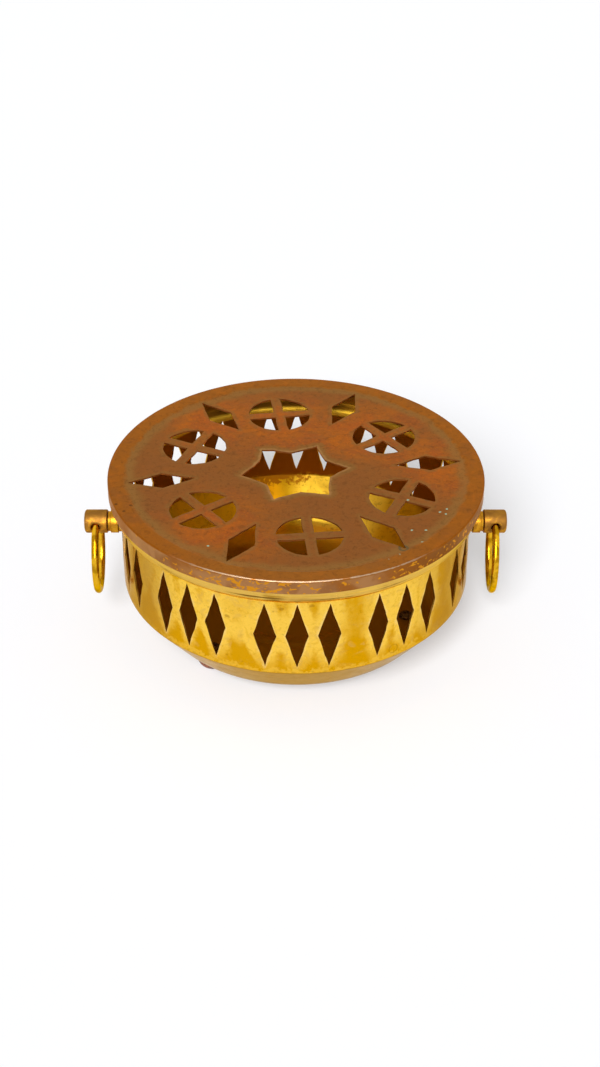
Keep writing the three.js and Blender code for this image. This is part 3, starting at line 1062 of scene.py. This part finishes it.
@dataclass
class Lid:
    """The lift-off copper lid: a flat pierced field in a raised rim, with a skirt turned down."""

    sheet: float = 1.0
    edge_radius: float = 1.0
    rim_width: float = 8.5
    dish_depth: float = 0.6
    dish_slope: float = 2.5
    turn: float = 7.0
    copies: int = 6
    star_tip: float = 31.5
    star_corners: tuple[Point, ...] = (
        (30.9, 2.0), (21.8, 30.8), (31.1, 59.4), (22.0, 91.7), (28.0, 111.0), (32.0, 122.8), (24.7, 142.6),
        (32.0, 178.3), (21.6, 210.8), (31.2, 238.4), (21.1, 268.9), (30.3, 301.2), (20.4, 336.6),
    )
    star_hollow: float = 0.25
    wheel_radius: float = 18.9
    wheel_to_star: float = 15.9
    spoke: float = 6.0
    rhombus_length: float = 40.0
    rhombus_width: float = 15.8
    rhombus_margin: float = 0.5
    wheel_drift: tuple[float, ...] = (-0.5, 1.5, -1.5, 0.0, -1.0, -1.0)
    rhombus_drift: tuple[float, ...] = (0.0, 0.5, -1.0, 0.0, 0.0, 0.5)
    wobble: float = 0.45
    dent: float = 0.3
    dent_size: float = 24.0
    star_bend: float = 0.4
    star_bend_width: float = 6.0
    burr: float = 0.15
    burr_width: float = 2.0
    tool_reach: float = 6.0
    star_reach: float = 12.0
    cut_reach: float = 8.0
    steps: int = 288
    slope_steps: int = 6
    edge_steps: int = 8
    side_steps: int = 8
    wheel_steps: int = 14
    spacing: float = 2.0

    def __post_init__(self) -> None:
        """Takes the lid's place and outer size from the frame."""
        low, high = node_box("lid")
        self.low = low.z
        self.top = high.z
        self.radius = (high.x - low.x) / 2
        self.field_radius = self.radius - self.rim_width - self.dish_slope
        self.field_top = self.top - self.dish_depth
        self.corner = self.radius + self.top - self.edge_radius

    def outline(self) -> list[Point]:
        """Gives the outside outline from the axis out and down the skirt.

        Returns:
            The outline, as radius and height.
        """
        slope = []
        for i in range(self.slope_steps + 1):
            t = i / self.slope_steps
            rise = self.dish_depth * (3 - 2 * t) * t * t
            slope.append((self.field_radius + self.dish_slope * t, self.field_top + rise))
        flat = densified([(0.0, self.field_top), slope[0]], self.spacing)
        band = densified([slope[-1], (self.radius - self.edge_radius, self.top)], self.spacing)
        bend = (self.radius - self.edge_radius, self.top - self.edge_radius)
        edge = arc(bend, self.edge_radius, 90, 0, self.edge_steps)
        hem = densified([edge[-1], (self.radius, self.low)], self.spacing)
        return [*flat, *slope[1:], *band[1:], *edge[1:], *hem[1:]]

    def star(self) -> list[Point]:
        """Gives the star's outline, with every hand-cut corner at its own place and the sides drawn in.

        Returns:
            The outline, before it is turned to its place on the lid.
        """
        corners = [Vector(turned([(reach, 0)], angle)[0]) for reach, angle in self.star_corners]
        outline = []
        for corner, following in zip(corners, corners[1:] + corners[:1]):
            middle = (corner + following) / 2
            middle *= (middle.length - 2 * self.star_hollow) / middle.length
            for i in range(self.side_steps):
                t = i / self.side_steps
                bend = corner * (1 - t) ** 2 + middle * 2 * t * (1 - t) + following * t ** 2
                outline.append((bend.x, bend.y))
        return outline

    def quarter(self) -> list[Point]:
        """Gives one quarter of a wheel, between two spokes.

        Returns:
            The outline, with the wheel's middle at the origin.
        """
        half = self.spoke / 2
        start = math.degrees(math.asin(half / self.wheel_radius))
        return [(half, half), *arc((0, 0), self.wheel_radius, start, 90 - start, self.wheel_steps)]

    def openings(self) -> tuple[list[list[Point]], list[list[Point]]]:
        """Gives the star's outline, and those of all the wheels and rhombi, as they lie on the lid.

        Returns:
            The star's outline in a list of its own, and the others.
        """
        rhombus_reach = self.field_radius - self.rhombus_margin - self.rhombus_length / 2
        wheel_reach = self.star_tip + self.wheel_to_star + self.wheel_radius
        half_long, half_wide = self.rhombus_length / 2, self.rhombus_width / 2
        rhombus = shifted([(half_long, 0), (0, half_wide), (-half_long, 0), (0, -half_wide)], rhombus_reach)
        others = []
        for i in range(self.copies):
            place = self.turn + i * 360 / self.copies
            others.append(turned(rhombus, place + self.rhombus_drift[i]))
            middle = place + 180 / self.copies + self.wheel_drift[i]
            for quarter in range(4):
                outline = shifted(turned(self.quarter(), 90 * quarter), wheel_reach)
                others.append(turned(outline, middle))
        star = hand_cut(turned(self.star(), self.turn), self.spacing, self.wobble)
        return [star], [hand_cut(outline, self.spacing, self.wobble) for outline in others]

    def bend(self, mesh: Mesh) -> None:
        """Bends the sheet down a little round the star, and less at the other openings.

        Args:
            mesh: The cut lid, which keeps on each vertex how far the openings are.
        """
        star = mesh.verts.layers.float["star_distance"]
        cuts = mesh.verts.layers.float["cut_distance"]
        for vert in mesh.verts:
            near_star = max(0.0, 1 - vert[star] / self.star_bend_width)
            near_cut = max(0.0, 1 - vert[cuts] / self.burr_width)
            on_field = vert.co.xy.length < self.field_radius
            dent = self.dent * noise.noise(vert.co / self.dent_size) if on_field else 0.0
            vert.co.z += dent - self.star_bend * near_star ** 2 - self.burr * near_cut ** 2

    def inwards(self, place: Vector) -> Vector:
        """Gives the way in at a place: straight down on the field, and towards the axis too on the skirt."""
        on_skirt = place.xy.length > self.field_radius
        return Vector((-place.x, -place.y, -self.radius)) if on_skirt else Vector((0, 0, -1))

    def build(self) -> Mesh:
        """Spins the blank, cuts the openings and bends their edges.

        Returns:
            The lid's mesh, in its place.
        """
        star, others = self.openings()
        low, high = self.top - self.tool_reach, self.top + self.tool_reach
        tools = joined(prism(outline, low, high) for outline in star + others)
        mesh = cut(sheet_metal(self.outline(), self.sheet, self.steps), tools)
        height = self.field_top - self.sheet / 2
        marks = ((star, "star_distance", self.star_reach), (star + others, "cut_distance", self.cut_reach))
        for outlines, name, reach in marks:
            lines = [densified(line + line[:1], self.spacing / 4) for line in outlines]
            mark_distance(mesh, [[Vector((x, y, height)) for x, y in line] for line in lines], name, reach)
        mark_surface(mesh, self.inwards)
        self.bend(mesh)
        return mesh

    def dress(self) -> bpy.types.Object:
        """Builds the lid and gives it its finish."""
        material = AgedCopper().material(self)
        return finished(self.build(), "lid_pierced", "lid", ["lid"], material)


@dataclass
class Bowl:
    """The brass bowl: one spun shell with diamond windows in its wall."""

    sheet: float = 1.0
    neck_height: float = 12.9
    shoulder_drop: float = 5.3
    shoulder_step: float = 4.4
    wall_height: float = 48.8
    base_inset: float = 19.1
    bottom_drop: float = 1.9
    bottom_inset: float = 6.3
    recess_radius: float = 40.0
    recess_depth: float = 0.8
    recess_slope: float = 1.5
    recess_shape: tuple[float, ...] = (0.3, 0.7, 1)
    crease_shape: tuple[Point, ...] = ((-0.55, -0.7), (-0.16, -0.12), (0, 0.6))
    groups: int = 10
    per_group: int = 3
    group_drift: tuple[float, ...] = (-0.6, -1.2, -0.8, 0.6, 1.2, 0.0, 0.0, 0.0, 0.0, 0.0)
    window_width: float = 12.9
    window_bar: float = 5.15
    top_margin: float = 1.0
    bottom_margin: float = 4.3
    lug_hole: float = 5.7
    foot_hole: float = 4.5
    bead_radius: float = 48.0
    bead_width: float = 1.6
    bead_depth: float = 0.25
    bead_shape: tuple[Point, ...] = ((-0.5, 0), (-0.2, 1), (0.2, 1), (0.5, 0))
    wobble: float = 0.5
    wave: float = 0.3
    wave_size: float = 24.0
    ripple: float = 0.12
    ripple_size: float = 9.0
    burr: float = 0.18
    burr_width: float = 2.2
    fade_start: float = 2.0
    fade_width: float = 6.0
    tool_inside: float = 5.0
    tool_outside: float = 4.0
    floor_tool_reach: float = 3.0
    cut_reach: float = 8.0
    steps: int = 288
    bend_steps: int = 5
    shoulder_steps: int = 8
    spacing: float = 2.2
    floor_spacing: float = 4.0
    window_spacing: float = 3.0
    mark_spacing: float = 0.5

    def __post_init__(self) -> None:
        """Takes the bowl's place and outer size from the frame."""
        low, high = node_box("bowl")
        self.foot_height = low.z + self.recess_depth
        self.rim = high.z
        self.neck_radius = (high.x - low.x) / 2
        self.neck_foot = self.rim - self.neck_height
        self.wall_top = self.neck_foot - self.shoulder_drop
        self.crease = self.wall_top - self.wall_height
        self.wall_radius = self.neck_radius - self.shoulder_step

    def outline(self) -> list[Point]:
        """Gives the outside outline from the axis up to the rim.

        Returns:
            The outline, as radius and height.
        """
        floor = self.foot_height
        base_edge = self.wall_radius - self.base_inset
        bottom = base_edge - self.bottom_inset
        recess = self.recess_radius
        low = floor - self.recess_depth
        middle = densified([(0.0, low), (recess, low)], self.floor_spacing)
        step = [(recess + self.recess_slope * t, floor - self.recess_depth * (1 - t))
                for t in self.recess_shape]
        bead = [(self.bead_radius + self.bead_width * t, floor - self.bead_depth * drop)
                for t, drop in self.bead_shape]
        flat = densified([bead[-1], (bottom, floor)], self.floor_spacing)
        turn = []
        for i in range(1, self.bend_steps + 1):
            t = i / self.bend_steps
            reach = (bottom + base_edge) / 2
            turn.append((
                bottom * (1 - t) ** 2 + reach * 2 * t * (1 - t) + base_edge * t ** 2,
                floor + self.bottom_drop * t ** 2,
            ))
        crease = [(self.wall_radius + out, self.crease + up) for out, up in self.crease_shape]
        slope = densified([turn[-1], crease[0]], self.spacing)
        wall = densified([crease[-1], (self.wall_radius, self.wall_top)], self.spacing)
        shoulder = smooth_step(wall[-1], (self.neck_radius, self.neck_foot), self.shoulder_steps)
        neck = densified([shoulder[-1], (self.neck_radius, self.rim)], self.spacing)
        upper = [*slope[1:], *crease[1:], *wall[1:], *shoulder[1:], *neck[1:]]
        return [*middle, *step, *bead, *flat[1:], *turn, *upper]

    def windows(self) -> tuple[list[Point], list[float]]:
        """Gives a window's outline across and up, and the windows' places round the bowl in radians.

        Returns:
            The outline, and one angle for each window.
        """
        half_high = (self.wall_height - self.top_margin - self.bottom_margin) / 2
        heart = self.crease + self.bottom_margin + half_high
        half_wide = self.window_width / 2
        outline = [(half_wide, heart), (0, heart + half_high), (-half_wide, heart), (0, heart - half_high)]
        pitch = (self.window_width + self.window_bar) / self.wall_radius
        places = []
        for group in range(self.groups):
            middle = (group + 0.5) * math.tau / self.groups + math.radians(self.group_drift[group])
            places += [middle + (i - (self.per_group - 1) / 2) * pitch for i in range(self.per_group)]
        return outline, places

    def tools(self) -> Iterable[Mesh]:
        """Makes the cutters of the windows and of the screw holes.

        Returns:
            The cutters, one by one.
        """
        inner, outer = self.wall_radius - self.tool_inside, self.wall_radius + self.tool_outside
        outline, places = self.windows()
        for i, place in enumerate(places):
            blank = prism(hand_cut(outline, self.window_spacing, self.wobble, i), inner, outer)
            yield moved(blank, Matrix.Rotation(place, 4, "Z"), UPRIGHT)
        for side in Side:
            low, high = node_box(f"{side.name.lower()}_boss")
            centre = Matrix.Translation((0, 0, (low.z + high.z) / 2))
            rod = drill(self.lug_hole / 2, inner, outer)
            yield moved(rod, centre, rotation(side.value), rotation(90, "Y"))
        reach = self.floor_tool_reach
        for name in FEET:
            low, high = node_box(f"{name}_foot_screw")
            rod = drill(self.foot_hole / 2, self.foot_height - reach, self.foot_height + reach)
            yield moved(rod, Matrix.Translation(((low.x + high.x) / 2, (low.y + high.y) / 2, 0)))

    def dent(self, mesh: Mesh) -> None:
        """Gives the wall the shallow waves of hand work, and turns the window edges in a little.

        Args:
            mesh: The cut bowl, which keeps on each vertex how far the windows are.
        """
        cuts = mesh.verts.layers.float["cut_distance"]
        for vert in mesh.verts:
            above, below = vert.co.z - self.crease - self.fade_start, self.wall_top - vert.co.z
            if above <= 0 or below <= 0:
                continue
            fade = min(1.0, above / self.fade_width, below / self.fade_width)
            wave = self.wave * noise.noise(vert.co / self.wave_size)
            ripple = self.ripple * noise.noise(vert.co / self.ripple_size)
            near = max(0.0, 1 - vert[cuts] / self.burr_width)
            outwards = vert.co.xy.normalized() * (fade * (wave + ripple) - self.burr * near ** 2)
            vert.co += outwards.to_3d()

    def inwards(self, place: Vector) -> Vector:
        """Gives the way in at a place: towards the middle of the bowl."""
        return Vector((0, 0, (self.crease + self.rim) / 2)) - place

    def build(self) -> Mesh:
        """Spins the shell, cuts its windows and holes, and dents its wall.

        Returns:
            The bowl's mesh, in its place.
        """
        mesh = cut(sheet_metal(self.outline(), self.sheet, self.steps), joined(self.tools()))
        outline, places = self.windows()
        middle_radius = self.wall_radius - self.sheet / 2
        dense = densified(outline + outline[:1], self.mark_spacing)
        lines = []
        for place in places:
            turn = Matrix.Rotation(place, 3, "Z")
            lines.append([turn @ Vector((math.sqrt(middle_radius ** 2 - x * x), x, z)) for x, z in dense])
        mark_distance(mesh, lines, "cut_distance", self.cut_reach)
        mark_surface(mesh, self.inwards)
        self.dent(mesh)
        return mesh

    def dress(self) -> bpy.types.Object:
        """Builds the bowl and gives it its finish."""
        material = PolishedBrass().material(self)
        return finished(self.build(), "bowl_shell", "bowl_assembly", ["bowl"], material)


@dataclass(frozen=True)
class SlottedScrew:
    """A slotted round-head screw, whose length and head follow its node."""

    head_height: float
    shank_radius: float
    slot_width: float = 1.2
    slot_depth: float = 0.9
    brim_share: float = 0.3
    tip_share: float = 0.5
    spare: float = 1.0
    edge: float = 0.08
    steps: int = 48
    crown_steps: int = 8

    def build(self, length: float, head_radius: float) -> Mesh:
        """Makes the screw: its head stands on Z = 0 and its shank runs down.

        Args:
            length: Length over all.
            head_radius: Radius of the head.

        Returns:
            The closed mesh.
        """
        top, shank = self.head_height, self.shank_radius
        tip = top - length
        brim = top * self.brim_share
        crown = [(head_radius * math.cos(t), brim + (top - brim) * math.sin(t))
                 for t in (math.pi / 2 * i / self.crown_steps for i in range(self.crown_steps))]
        profile = [
            (0, tip), (shank * self.tip_share, tip), (shank, tip + shank), (shank, 0),
            (head_radius, 0), *crown, (0, top),
        ]
        half, reach = self.slot_width / 2, head_radius + self.spare
        outline = [(-reach, -half), (reach, -half), (reach, half), (-reach, half)]
        slot = prism(outline, top - self.slot_depth, top + self.spare)
        return rounded(cut(spun(profile, self.steps), slot), self.edge, angle=50)


@dataclass
class Lug:
    """One lug: washers, a stepped collar and a cross-drilled boss on a screw through the wall."""

    side: Side
    bore: float = 5.7
    flange_width: float = 4.6
    neck_diameter: float = 12.0
    boss_chamfer: float = 0.9
    boss_dome: float = 0.7
    dome_steps: int = 6
    hole_radius: float = 2.8
    mouth_chamfer: float = 0.2
    screw_hole_depth: float = 3.5
    washer_edge: float = 0.18
    collar_edge: float = 0.25
    boss_edge: float = 0.12
    bolt: SlottedScrew = SlottedScrew(head_height=2.6, shank_radius=2.5)
    steps: int = 64

    def __post_init__(self) -> None:
        """Reads where the lug's nodes stand, and mixes its two finishes."""
        self.name = self.side.name.lower()
        self.outwards = 1 if self.side is Side.RIGHT else -1
        low, high = node_box(f"{self.name}_boss")
        self.height = (low.z + high.z) / 2
        self.hole_x = (low.x + high.x) / 2
        hole = (self.hole_x, 0.0, self.height)
        self.dulled = TurnedBrass().material(f"{self.name}_dulled_brass", hole, self.hole_radius)
        rubbed = TurnedBrass(clean="#CE9424", dull="#A8721E", rough=(0.26, 0.42))
        self.rubbed = rubbed.material(f"{self.name}_rubbed_brass", hole, self.hole_radius)

    def span(self, node: str) -> Triple:
        """Gives a node's inner end, length and radius along the lug's axis.

        Args:
            node: Name of the node, without its side.

        Returns:
            The three measures.
        """
        low, high = node_box(f"{self.name}_{node}")
        inner = low.x if self.outwards > 0 else -high.x
        return inner, high.x - low.x, (high.z - low.z) / 2

    def laid(self, mesh: Mesh, start: float) -> Mesh:
        """Turns a mesh built up Z to point outwards from a place on the lug's axis."""
        place = Matrix.Translation((self.outwards * start, 0, self.height))
        return moved(mesh, place, rotation(self.side.value), rotation(90, "Y"))

    def washer(self, node: str) -> bpy.types.Object:
        """Makes a flat washer with broken edges.

        Args:
            node: Name of the washer's node, without its side.

        Returns:
            The piece.
        """
        start, length, radius = self.span(node)
        bore = self.bore / 2
        profile = [(bore, 0), (radius, 0), (radius, length), (bore, length), (bore, 0)]
        return self.stand(self.laid(rounded(spun(profile, self.steps), self.washer_edge), start), node)

    def collar(self) -> bpy.types.Object:
        """Makes the stepped collar, its flange towards the wall.

        Returns:
            The piece.
        """
        start, length, radius = self.span("collar")
        bore, neck, flange = self.bore / 2, self.neck_diameter / 2, self.flange_width
        profile = [
            (bore, 0), (radius, 0), (radius, flange), (neck, flange), (neck, length),
            (bore, length), (bore, 0),
        ]
        mesh = rounded(spun(profile, self.steps), self.collar_edge, segments=3)
        return self.stand(self.laid(mesh, start), "collar")

    def boss(self) -> bpy.types.Object:
        """Makes the boss with its domed end, the ring's cross hole and the screw's hole.

        Returns:
            The piece.
        """
        start, length, radius = self.span("boss")
        chamfer, shoulder = self.boss_chamfer, length - self.boss_dome
        dome = [((radius - chamfer) * math.cos(t), shoulder + self.boss_dome * math.sin(t))
                for t in (math.pi / 2 * i / self.dome_steps for i in range(1, self.dome_steps))]
        profile = [
            (0, 0), (radius - chamfer / 2, 0), (radius, chamfer / 2), (radius, shoulder - chamfer),
            (radius - chamfer * 0.3, shoulder - chamfer * 0.35), (radius - chamfer, shoulder),
            *dome, (0, length),
        ]
        narrow, lip = self.hole_radius, self.mouth_chamfer
        wide = narrow + 2 * lip
        hole = spun([
            (0, -radius - lip), (wide, -radius - lip), (narrow, -radius + lip),
            (narrow, radius - lip), (wide, radius + lip), (0, radius + lip),
        ], self.steps // 2)
        cross = moved(hole, Matrix.Translation((0, 0, length / 2)), rotation(90, "X"))
        screw_hole = drill(self.bore / 2, -1, self.screw_hole_depth, sides=30)
        mesh = cut(spun(profile, self.steps), joined([cross, screw_hole]))
        return self.stand(self.laid(rounded(mesh, self.boss_edge, angle=50), start), "boss")

    def screw(self, material: bpy.types.Material) -> bpy.types.Object:
        """Makes the slotted screw, its head inside the bowl.

        Args:
            material: Finish of the screws.

        Returns:
            The piece.
        """
        start, length, radius = self.span("lug_screw")
        head_up = Matrix.Translation((0, 0, self.bolt.head_height))
        mesh = moved(self.bolt.build(length, radius), head_up, rotation(180, "X"))
        mesh, name = self.laid(mesh, start), f"{self.name}_lug_screw"
        return finished(mesh, f"{name}_slotted", "bowl_assembly", [name], material)

    def stand(self, mesh: Mesh, node: str) -> bpy.types.Object:
        """Finishes one turned piece of the lug.

        Args:
            mesh: The piece's mesh, in its place; it is freed.
            node: Name of its node, without the side.

        Returns:
            The piece.
        """
        name = f"{self.name}_{node}"
        material = self.dulled if node == "boss" else self.rubbed
        return finished(mesh, f"{name}_turned", "bowl_assembly", [name], material)

    def dress(self, screws: bpy.types.Material) -> None:
        """Builds every piece of the lug and gives it its finish.

        Args:
            screws: Finish of the screws.
        """
        self.washer("outer_washer")
        self.washer("inner_washer")
        self.collar()
        self.boss()
        self.screw(screws)


@dataclass
class SwingRing:
    """One ring of brass wire that hangs in its lug, with the butt joint where it was closed.

    The joint's angle is in radians round the ring, and the yaw is the ring's turn in degrees round Z.
    """

    side: Side
    joint_angle: float
    yaw: float
    wire: float = 2.15
    nip: float = 0.16
    nip_width: float = 0.7
    joint_reach: float = 5.0
    unevenness: float = 0.05
    wave_size: float = 6.0
    steps: int = 160
    wire_steps: int = 24

    def __post_init__(self) -> None:
        """Reads where the ring hangs."""
        self.name = f"{self.side.name.lower()}_ring"
        low, high = node_box(self.name)
        self.outer = (high.z - low.z) / 2
        self.centre = (low + high) / 2

    def build(self) -> Mesh:
        """Spins the wire's section round X and nips the joint.

        Returns:
            The ring's mesh, in its place.
        """
        mean = self.outer - self.wire
        section = arc((mean, 0), self.wire, 0, 360, self.wire_steps)
        section[-1] = section[0]
        mesh = spun(section, self.steps)
        joint = Vector((math.cos(self.joint_angle), math.sin(self.joint_angle)))
        layer = mesh.verts.layers.float.new("joint_distance")
        for vert in mesh.verts:
            along = abs(joint.cross(vert.co.xy)) if joint.dot(vert.co.xy) > 0 else math.inf
            vert[layer] = min(along, self.joint_reach)
            heart = vert.co.xy.normalized().to_3d() * mean
            nip = self.nip * max(0.0, 1 - along / self.nip_width)
            wave = self.unevenness * noise.noise(vert.co / self.wave_size)
            vert.co += (heart - vert.co).normalized() * (nip + wave)
        return moved(mesh, Matrix.Translation(self.centre), rotation(self.yaw), UPRIGHT)

    def dress(self, material: bpy.types.Material) -> bpy.types.Object:
        """Builds the ring and gives it its finish."""
        return finished(self.build(), f"{self.name}_wire", self.name, [self.name], material)


@dataclass
class Foot:
    """One turned bun foot and the wood screw that holds it."""

    name: str
    bottom_radius: float = 6.25
    top_radius: float = 7.5
    pilot_radius: float = 2.25
    pilot_end: float = 2.4
    groove: float = 0.22
    groove_turns: float = 14.0
    edge: float = 0.2
    screw: SlottedScrew = SlottedScrew(head_height=2.0, shank_radius=1.9)
    side_steps: int = 48
    steps: int = 64

    def build(self) -> Mesh:
        """Turns the bun with the fine grooves that the chisel left.

        Returns:
            The bun's mesh, in its place.
        """
        low, high = node_box(f"{self.name}_foot")
        top = high.z
        widest = (high.x - low.x) / 2
        start = math.acos(self.bottom_radius / widest)
        end = math.acos(self.top_radius / widest)
        bulge = top / (math.sin(start) + math.sin(end))
        side = []
        for i in range(self.side_steps + 1):
            t = -start + (start + end) * i / self.side_steps
            furrow = self.groove * max(0.0, math.sin(t * self.groove_turns)) ** 4
            side.append(((widest - furrow) * math.cos(t), bulge * (math.sin(t) + math.sin(start))))
        pilot, end = self.pilot_radius, self.pilot_end
        profile = [(0, 0), *side, (pilot, top), (pilot, end), (0, end)]
        centre = (low + high) / 2
        mesh = rounded(spun(profile, self.steps), self.edge, angle=60)
        return moved(mesh, Matrix.Translation((centre.x, centre.y, low.z)))

    def dress(self, wood: bpy.types.Material, screws: bpy.types.Material) -> None:
        """Builds the foot and its screw and gives them their finishes.

        Args:
            wood: Finish of the foot.
            screws: Finish of the screw.
        """
        name = f"{self.name}_foot"
        finished(self.build(), f"{name}_bun", "bowl_assembly", [name], wood)
        low, high = node_box(f"{name}_screw")
        mesh = self.screw.build(high.z - low.z, (high.x - low.x) / 2)
        centre = (low + high) / 2
        mesh = moved(mesh, Matrix.Translation((centre.x, centre.y, high.z - self.screw.head_height)))
        finished(mesh, f"{name}_screw_slotted", "bowl_assembly", [f"{name}_screw"], screws)


@dataclass(frozen=True)
class Lamp:
    """One wide soft lamp, far off, that lights either what mirrors it or what spreads its light."""

    name: str
    strength: float
    width: float
    tilt: Point
    mirrored: bool

    def hang(self) -> None:
        """Hangs the lamp, tilted from straight down towards the back and to the right."""
        data = bpy.data.lights.new(self.name, "SUN")
        data.energy = self.strength
        data.angle = math.radians(self.width)
        hung = bpy.data.objects.new(self.name, data)
        hung.rotation_euler = (*(math.radians(tilt) for tilt in self.tilt), 0)
        hung.visible_glossy = self.mirrored
        hung.visible_diffuse = not self.mirrored
        bpy.context.scene.collection.objects.link(hung)


@dataclass
class Studio:
    """The white table, the soft light and the camera of the photograph."""

    floor_size: float = 14.0
    camera_place: Triple = (-0.00924, -0.84501, 0.64175)
    pitch: float = 34.57
    turn: float = -0.8
    roll: float = 0.46
    lens: float = 57.74
    nearest: float = 0.01
    lamps: tuple[Lamp, ...] = (
        Lamp("metal_lamp", strength=3.4, width=40.0, tilt=(48.0, -10.0), mirrored=True),
        Lamp("table_lamp", strength=3.45, width=26.0, tilt=(48.0, -18.0), mirrored=False),
    )
    sky_strength: float = 0.35
    paper: str = "#F9FAFE"
    glow: float = 0.35

    def floor(self) -> None:
        """Lays a white table that shows white to the camera and to the metal, and keeps the shadow."""
        mesh = bmesh.new()
        bmesh.ops.create_grid(mesh, x_segments=1, y_segments=1, size=self.floor_size / 2)
        table = as_object(mesh, "table")
        material = bpy.data.materials.new("white_table")
        plan = Plan(material)
        share = plan.add("ShaderNodeMath", {0: plan.seen(), 1: self.glow}, operation="MULTIPLY").outputs[0]
        paint = plan.add("ShaderNodeBsdfDiffuse", {"Color": linear(self.paper)}).outputs[0]
        shine = plan.add("ShaderNodeEmission").outputs[0]
        mixed = plan.add("ShaderNodeMixShader", {0: share, 1: paint, 2: shine}).outputs[0]
        plan.add("ShaderNodeOutputMaterial", {"Surface": mixed})
        table.data.materials.append(material)

    def sky(self) -> None:
        """Surrounds the table with white paper that gives a weaker light than it shows."""
        world = bpy.data.worlds.new("white_paper")
        bpy.context.scene.world = world
        plan = Plan(world)
        ends = {"Value": plan.seen(), "To Min": self.sky_strength, "To Max": 1.0}
        strength = plan.add("ShaderNodeMapRange", ends).outputs[0]
        paper = plan.add("ShaderNodeBackground", {"Color": (1, 1, 1, 1), "Strength": strength}).outputs[0]
        plan.add("ShaderNodeOutputWorld", {"Surface": paper})

    def camera(self) -> None:
        """Stands the camera where the photograph was taken from."""
        data = bpy.data.cameras.new("camera")
        data.lens = self.lens
        data.clip_start = self.nearest
        made = bpy.data.objects.new("camera", data)
        bpy.context.scene.collection.objects.link(made)
        place = Matrix.Translation(self.camera_place)
        made.matrix_world = place @ rotation(self.turn) @ rotation(90 - self.pitch, "X") @ rotation(self.roll)
        bpy.context.scene.camera = made

    def set_up(self) -> None:
        """Sets up the table, the light and the camera."""
        self.floor()
        self.sky()
        for lamp in self.lamps:
            lamp.hang()
        self.camera()
        bpy.context.scene.view_settings.view_transform = "Standard"


def main() -> None:
    """Builds the warmer piece by piece and sets up the studio."""
    logging.basicConfig(level=logging.INFO, format="%(name)s: %(message)s")
    Studio().set_up()
    Lid().dress()
    Bowl().dress()
    wire = RingBrass().material()
    screws = ScrewBrass().material()
    right = SwingRing(Side.RIGHT, joint_angle=0.2, yaw=-2.0)
    left = SwingRing(Side.LEFT, joint_angle=-2.2, yaw=1.0)
    for ring in (right, left):
        Lug(ring.side).dress(screws)
        ring.dress(wire)
    wood = TurnedWood().material()
    for name in FEET:
        Foot(name).dress(wood, screws)


if __name__ == "__main__":
    main()
